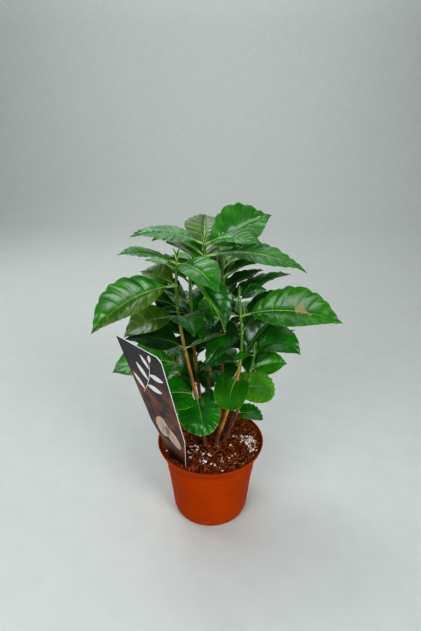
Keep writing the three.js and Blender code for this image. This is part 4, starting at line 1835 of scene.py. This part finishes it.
@dataclass(frozen=True)
class Card:
    """The plant card: printed board with a pale core, on a stake that stands in the mix."""

    thickness: float = 0.8
    top_width: float = 65.0
    waist_width: float = 53.0
    soil_width: float = 22.0
    point_width: float = 6.0
    top: float = 162.0
    waist: float = 51.0
    point: float = -28.0
    corner: float = 4.5
    heading: float = -45.5
    lean: float = 15.5
    foot: tuple[float, float] = (-34.2, -34.6)
    print_lift: float = 0.06
    sprig: tuple[tuple[float, float], tuple[float, float]] = ((-19.0, 96.0), (12.0, 149.0))
    sprig_bow: float = 9.0
    sprig_leaves: tuple[tuple[float, float, float], ...] = (
        (0.12, 62, 21), (0.3, -58, 23), (0.46, 60, 22), (0.64, -56, 21), (0.8, 56, 17),
    )
    ovals: tuple[tuple[float, float, float, float], ...] = ((-11, 37, 74, 33), (12, 30, 112, 30))
    front: PrintFinish = PrintFinish("card_front", srgb(46, 40, 46), srgb(22, 19, 24), srgb(122, 66, 40))
    back: MattFinish = MattFinish("card_back", srgb(222, 218, 208), srgb(204, 199, 188), 0.8, 0.6, 0.02)
    core: MattFinish = MattFinish("card_core", srgb(236, 234, 230), srgb(214, 211, 206), 0.4, 0.8, 0.05)
    cream: MattFinish = MattFinish("card_cream", srgb(244, 240, 232), srgb(228, 222, 210), 0.4, 0.5, 0.01)
    tan: MattFinish = MattFinish("card_tan", srgb(214, 190, 170), srgb(184, 152, 130), 3.0, 0.5, 0.01)

    def edges(self, along: np.ndarray) -> tuple[np.ndarray, np.ndarray]:
        """Find the card's left and right edges. Only its right top corner is cut.

        Args:
            along: Places up the card from the soil.

        Returns:
            The left and the right edge at each.
        """
        heights = [self.point, 0, self.waist, self.top - self.corner, self.top]
        widths = [self.point_width, self.soil_width, self.waist_width, self.top_width, self.top_width]
        left = -np.interp(along, heights, widths) / 2
        widths[-1] -= 2 * self.corner
        return left, np.interp(along, heights, widths) / 2

    def place(self, across: np.ndarray, along: np.ndarray, lift: np.ndarray | float) -> np.ndarray:
        """Place points of the card, which leans out and is turned to its heading.

        Args:
            across: Places across the card from its middle.
            along: Places up the card from the soil.
            lift: Distances in front of its middle plane.

        Returns:
            The points.
        """
        tilt, turn = math.radians(90 + self.lean), math.radians(self.heading)
        x_axis = np.array([math.cos(turn), math.sin(turn), 0])
        level = np.array([-math.sin(turn), math.cos(turn), 0])
        y_axis = level * math.cos(tilt) + np.array([0, 0, math.sin(tilt)])
        normal = -level * math.sin(tilt) + np.array([0, 0, math.cos(tilt)])
        parts = [np.asarray(part, float)[..., None] for part in (across, along, lift)]
        base = np.array([*self.foot, SOIL_TOP])
        return base + parts[0] * x_axis + parts[1] * y_axis + parts[2] * normal

    def build(self) -> None:
        """Build the board and the motifs printed on its front."""
        patch = Patchwork()
        stops = [self.point, 0, self.waist, self.top - self.corner, self.top]
        stretches = [np.linspace(low, high, 9)[:-1] for low, high in zip(stops, stops[1:])]
        along = np.concatenate([*stretches, [self.top]])
        left, right = self.edges(along)
        across = blend(left[:, None], right[:, None], np.linspace(0, 1, 13))
        rows = np.broadcast_to(along[:, None], across.shape)
        half = self.thickness / 2
        patch.sheet(self.place(across, rows, half), self.front)
        patch.sheet(self.place(across, rows, -half), self.back, flip=True)
        loop = np.concatenate([
            np.stack([across[0], rows[0]], -1),
            np.stack([across[1:, -1], rows[1:, -1]], -1),
            np.stack([across[-1, -2::-1], rows[-1, -2::-1]], -1),
            np.stack([across[-2:0:-1, 0], rows[-2:0:-1, 0]], -1),
        ])
        rim = np.stack([self.place(loop[:, 0], loop[:, 1], lift) for lift in (-half, half)])
        patch.sheet(rim, self.core, wrap=True)
        hand_in(patch.build("card_board", 30), ["card"])
        self.motifs()

    def motifs(self) -> None:
        """Print a slanting leaf sprig above and two plain ovals below."""
        patch = Patchwork()
        start, end = self.sprig
        self.stroke(patch, start, end, self.sprig_bow, 1.0)
        for share, turn, length in self.sprig_leaves:
            foot = np.array(bowed(start, end, self.sprig_bow, share))
            self.petal(patch, foot, 60 + turn, length, length * 0.36, self.cream)
        self.petal(patch, np.array(end), 66, 11, 4.4, self.cream)
        for across, along, turn, length in self.ovals:
            self.petal(patch, np.array([across, along], float), turn, length, length * 0.62, self.tan)
        self.stroke(patch, (-9, 42), (-5, 64), 3, 0.9, self.front, 2)
        self.stroke(patch, (9, 35), (4, 54), -3, 0.9, self.front, 2)
        hand_in(patch.build("card_motifs", 30))

    def stroke(
        self,
        patch: Patchwork,
        start: tuple[float, float],
        end: tuple[float, float],
        bow: float,
        width: float,
        ink: Finish | None = None,
        layer: int = 1,
    ) -> None:
        """Print a curved stroke.

        Args:
            patch: The piece that it belongs to.
            start: Where it starts on the card.
            end: Where it ends.
            bow: How far it bows to the right.
            width: Its width in the middle.
            ink: Its ink, cream where none is given.
            layer: How many layers lie below it, counting itself.
        """
        shares = np.linspace(0, 1, 20)
        x, y = bowed(start, end, bow, shares)
        wide = width / 2 * (0.35 + 0.65 * np.sin(np.pi * shares))
        grid = np.stack([self.place(x + wide * side, y, self.front_of(layer)) for side in (-1, 1)], 1)
        patch.sheet(grid, ink or self.cream)

    def petal(
        self, patch: Patchwork, start: np.ndarray, turn: float, length: float, width: float, ink: Finish
    ) -> None:
        """Print a leaf or an oval that starts at a point and runs at an angle."""
        ahead = np.array([math.cos(math.radians(turn)), math.sin(math.radians(turn))])
        shares = (1 - np.cos(np.linspace(0, np.pi, 22))) / 2
        bulge = np.sin(np.pi * shares) ** (0.5 if width > length / 2 else 0.8)
        middle = start + ahead * (shares * length)[:, None]
        beside = np.array([ahead[1], -ahead[0]])
        sides = [middle + beside * (side * width / 2 * bulge)[:, None] for side in (-1, -0.5, 0, 0.5, 1)]
        grid = np.stack([self.place(line[:, 0], line[:, 1], self.front_of(1)) for line in sides], 1)
        patch.sheet(grid, ink)

    def front_of(self, layer: int) -> float:
        """Return how far a printed layer lies in front of the card's middle."""
        return self.thickness / 2 + self.print_lift * layer


@dataclass(frozen=True)
class Lamp:
    """A soft flat light: where it hangs, what it faces, its width and height, and its power in watts."""

    name: str
    place: tuple[float, float, float]
    target: tuple[float, float, float]
    size: tuple[float, float]
    power: float

    def hang(self, colour: Colour) -> None:
        """Hang the light and give it a colour."""
        lamp = bpy.data.lights.new(self.name, "AREA")
        lamp.energy = self.power
        lamp.color = colour
        lamp.shape = "RECTANGLE"
        lamp.size, lamp.size_y = self.size[0] * MM, self.size[1] * MM
        holder = bpy.data.objects.new(self.name, lamp)
        holder.location = Vector(self.place) * MM
        toward = Vector(self.target) - Vector(self.place)
        holder.rotation_euler = toward.to_track_quat("-Z", "Y").to_euler()
        bpy.context.scene.collection.objects.link(holder)


@dataclass(frozen=True)
class Studio:
    """The pale sweep that the plant stands on, its soft lights and the camera."""

    camera_place: tuple[float, float, float] = (0.0, -424.44, 430.3)
    camera_tilt: float = 66.505
    lens: float = 26.0
    sensor: float = 36.0
    daylight: Colour = (0.92, 0.98, 1.0)
    sky: Colour = (0.86, 0.92, 1.0)
    sky_strength: float = 0.12
    lamps: tuple[Lamp, ...] = (
        Lamp("window", (-1000, 560, 900), (0, 0, 200), (600, 600), 3.5),
        Lamp("wall", (-330, 880, 1180), (0, 0, 220), (1400, 420), 2.6),
        Lamp("ceiling", (150, 50, 1350), (0, 0, 180), (800, 800), 1.8),
        Lamp("skylight", (-431, 652, 1305), (-70, 0, 240), (320, 320), 1.6),
        Lamp("front", (-530, -800, 720), (0, 0, 180), (620, 560), 5.6),
        Lamp("right", (560, -720, 600), (0, 0, 230), (380, 700), 6.2),
        Lamp("backdrop", (0, 1300, 2000), (0, 2400, 900), (2400, 400), 22),
    )
    floor: MattFinish = MattFinish("studio_floor", srgb(203, 204, 200), srgb(197, 198, 194), 30, 0.7, 0.0)
    half_width: float = 3000.0
    near: float = -1500.0
    far: float = 1500.0
    bend: float = 900.0
    top: float = 2600.0

    def build(self) -> None:
        """Build the sweep, the lights and the camera."""
        self.sweep()
        world = bpy.data.worlds.new("studio")
        world.use_nodes = True
        background = world.node_tree.nodes["Background"]
        background.inputs["Color"].default_value = (*self.sky, 1)
        background.inputs["Strength"].default_value = self.sky_strength
        bpy.context.scene.world = world
        for lamp in self.lamps:
            lamp.hang(self.daylight)
        settings = bpy.context.scene.view_settings
        settings.view_transform = "Standard"
        settings.look = "Medium High Contrast"
        self.camera()

    def sweep(self) -> None:
        """Build a floor that curves up into a backdrop."""
        angle = np.linspace(0, np.pi / 2, 24)
        y = np.concatenate([[self.near], self.far + self.bend * np.sin(angle), [self.far + self.bend]])
        z = np.concatenate([[0.0], self.bend - self.bend * np.cos(angle), [self.top]])
        x = np.linspace(-self.half_width, self.half_width, 5)
        grid = np.stack([np.tile(x, (len(y), 1)), np.tile(y[:, None], 5), np.tile(z[:, None], 5)], -1)
        patch = Patchwork()
        patch.sheet(grid, self.floor)
        patch.build("studio_sweep")

    def camera(self) -> None:
        """Stand the camera where the photograph was taken from."""
        lens = bpy.data.cameras.new("camera")
        lens.lens = self.lens
        lens.sensor_width = self.sensor
        holder = bpy.data.objects.new("camera", lens)
        holder.location = Vector(self.camera_place) * MM
        holder.rotation_euler = (math.radians(self.camera_tilt), 0, 0)
        bpy.context.scene.collection.objects.link(holder)
        bpy.context.scene.camera = holder


def main() -> None:
    """Build the plant in its pot, then the studio."""
    logging.basicConfig(level=logging.INFO, format="%(message)s", force=True)
    pot = Pot()
    pot.build()
    Soil(pot).build()
    Card().build()
    buds = Patchwork()
    for number, seedling in enumerate(SEEDLINGS):
        seedling.build(number, buds)
    hand_in(buds.build("leaf_buds", 80))
    Studio().build()


if __name__ == "__main__":
    main()
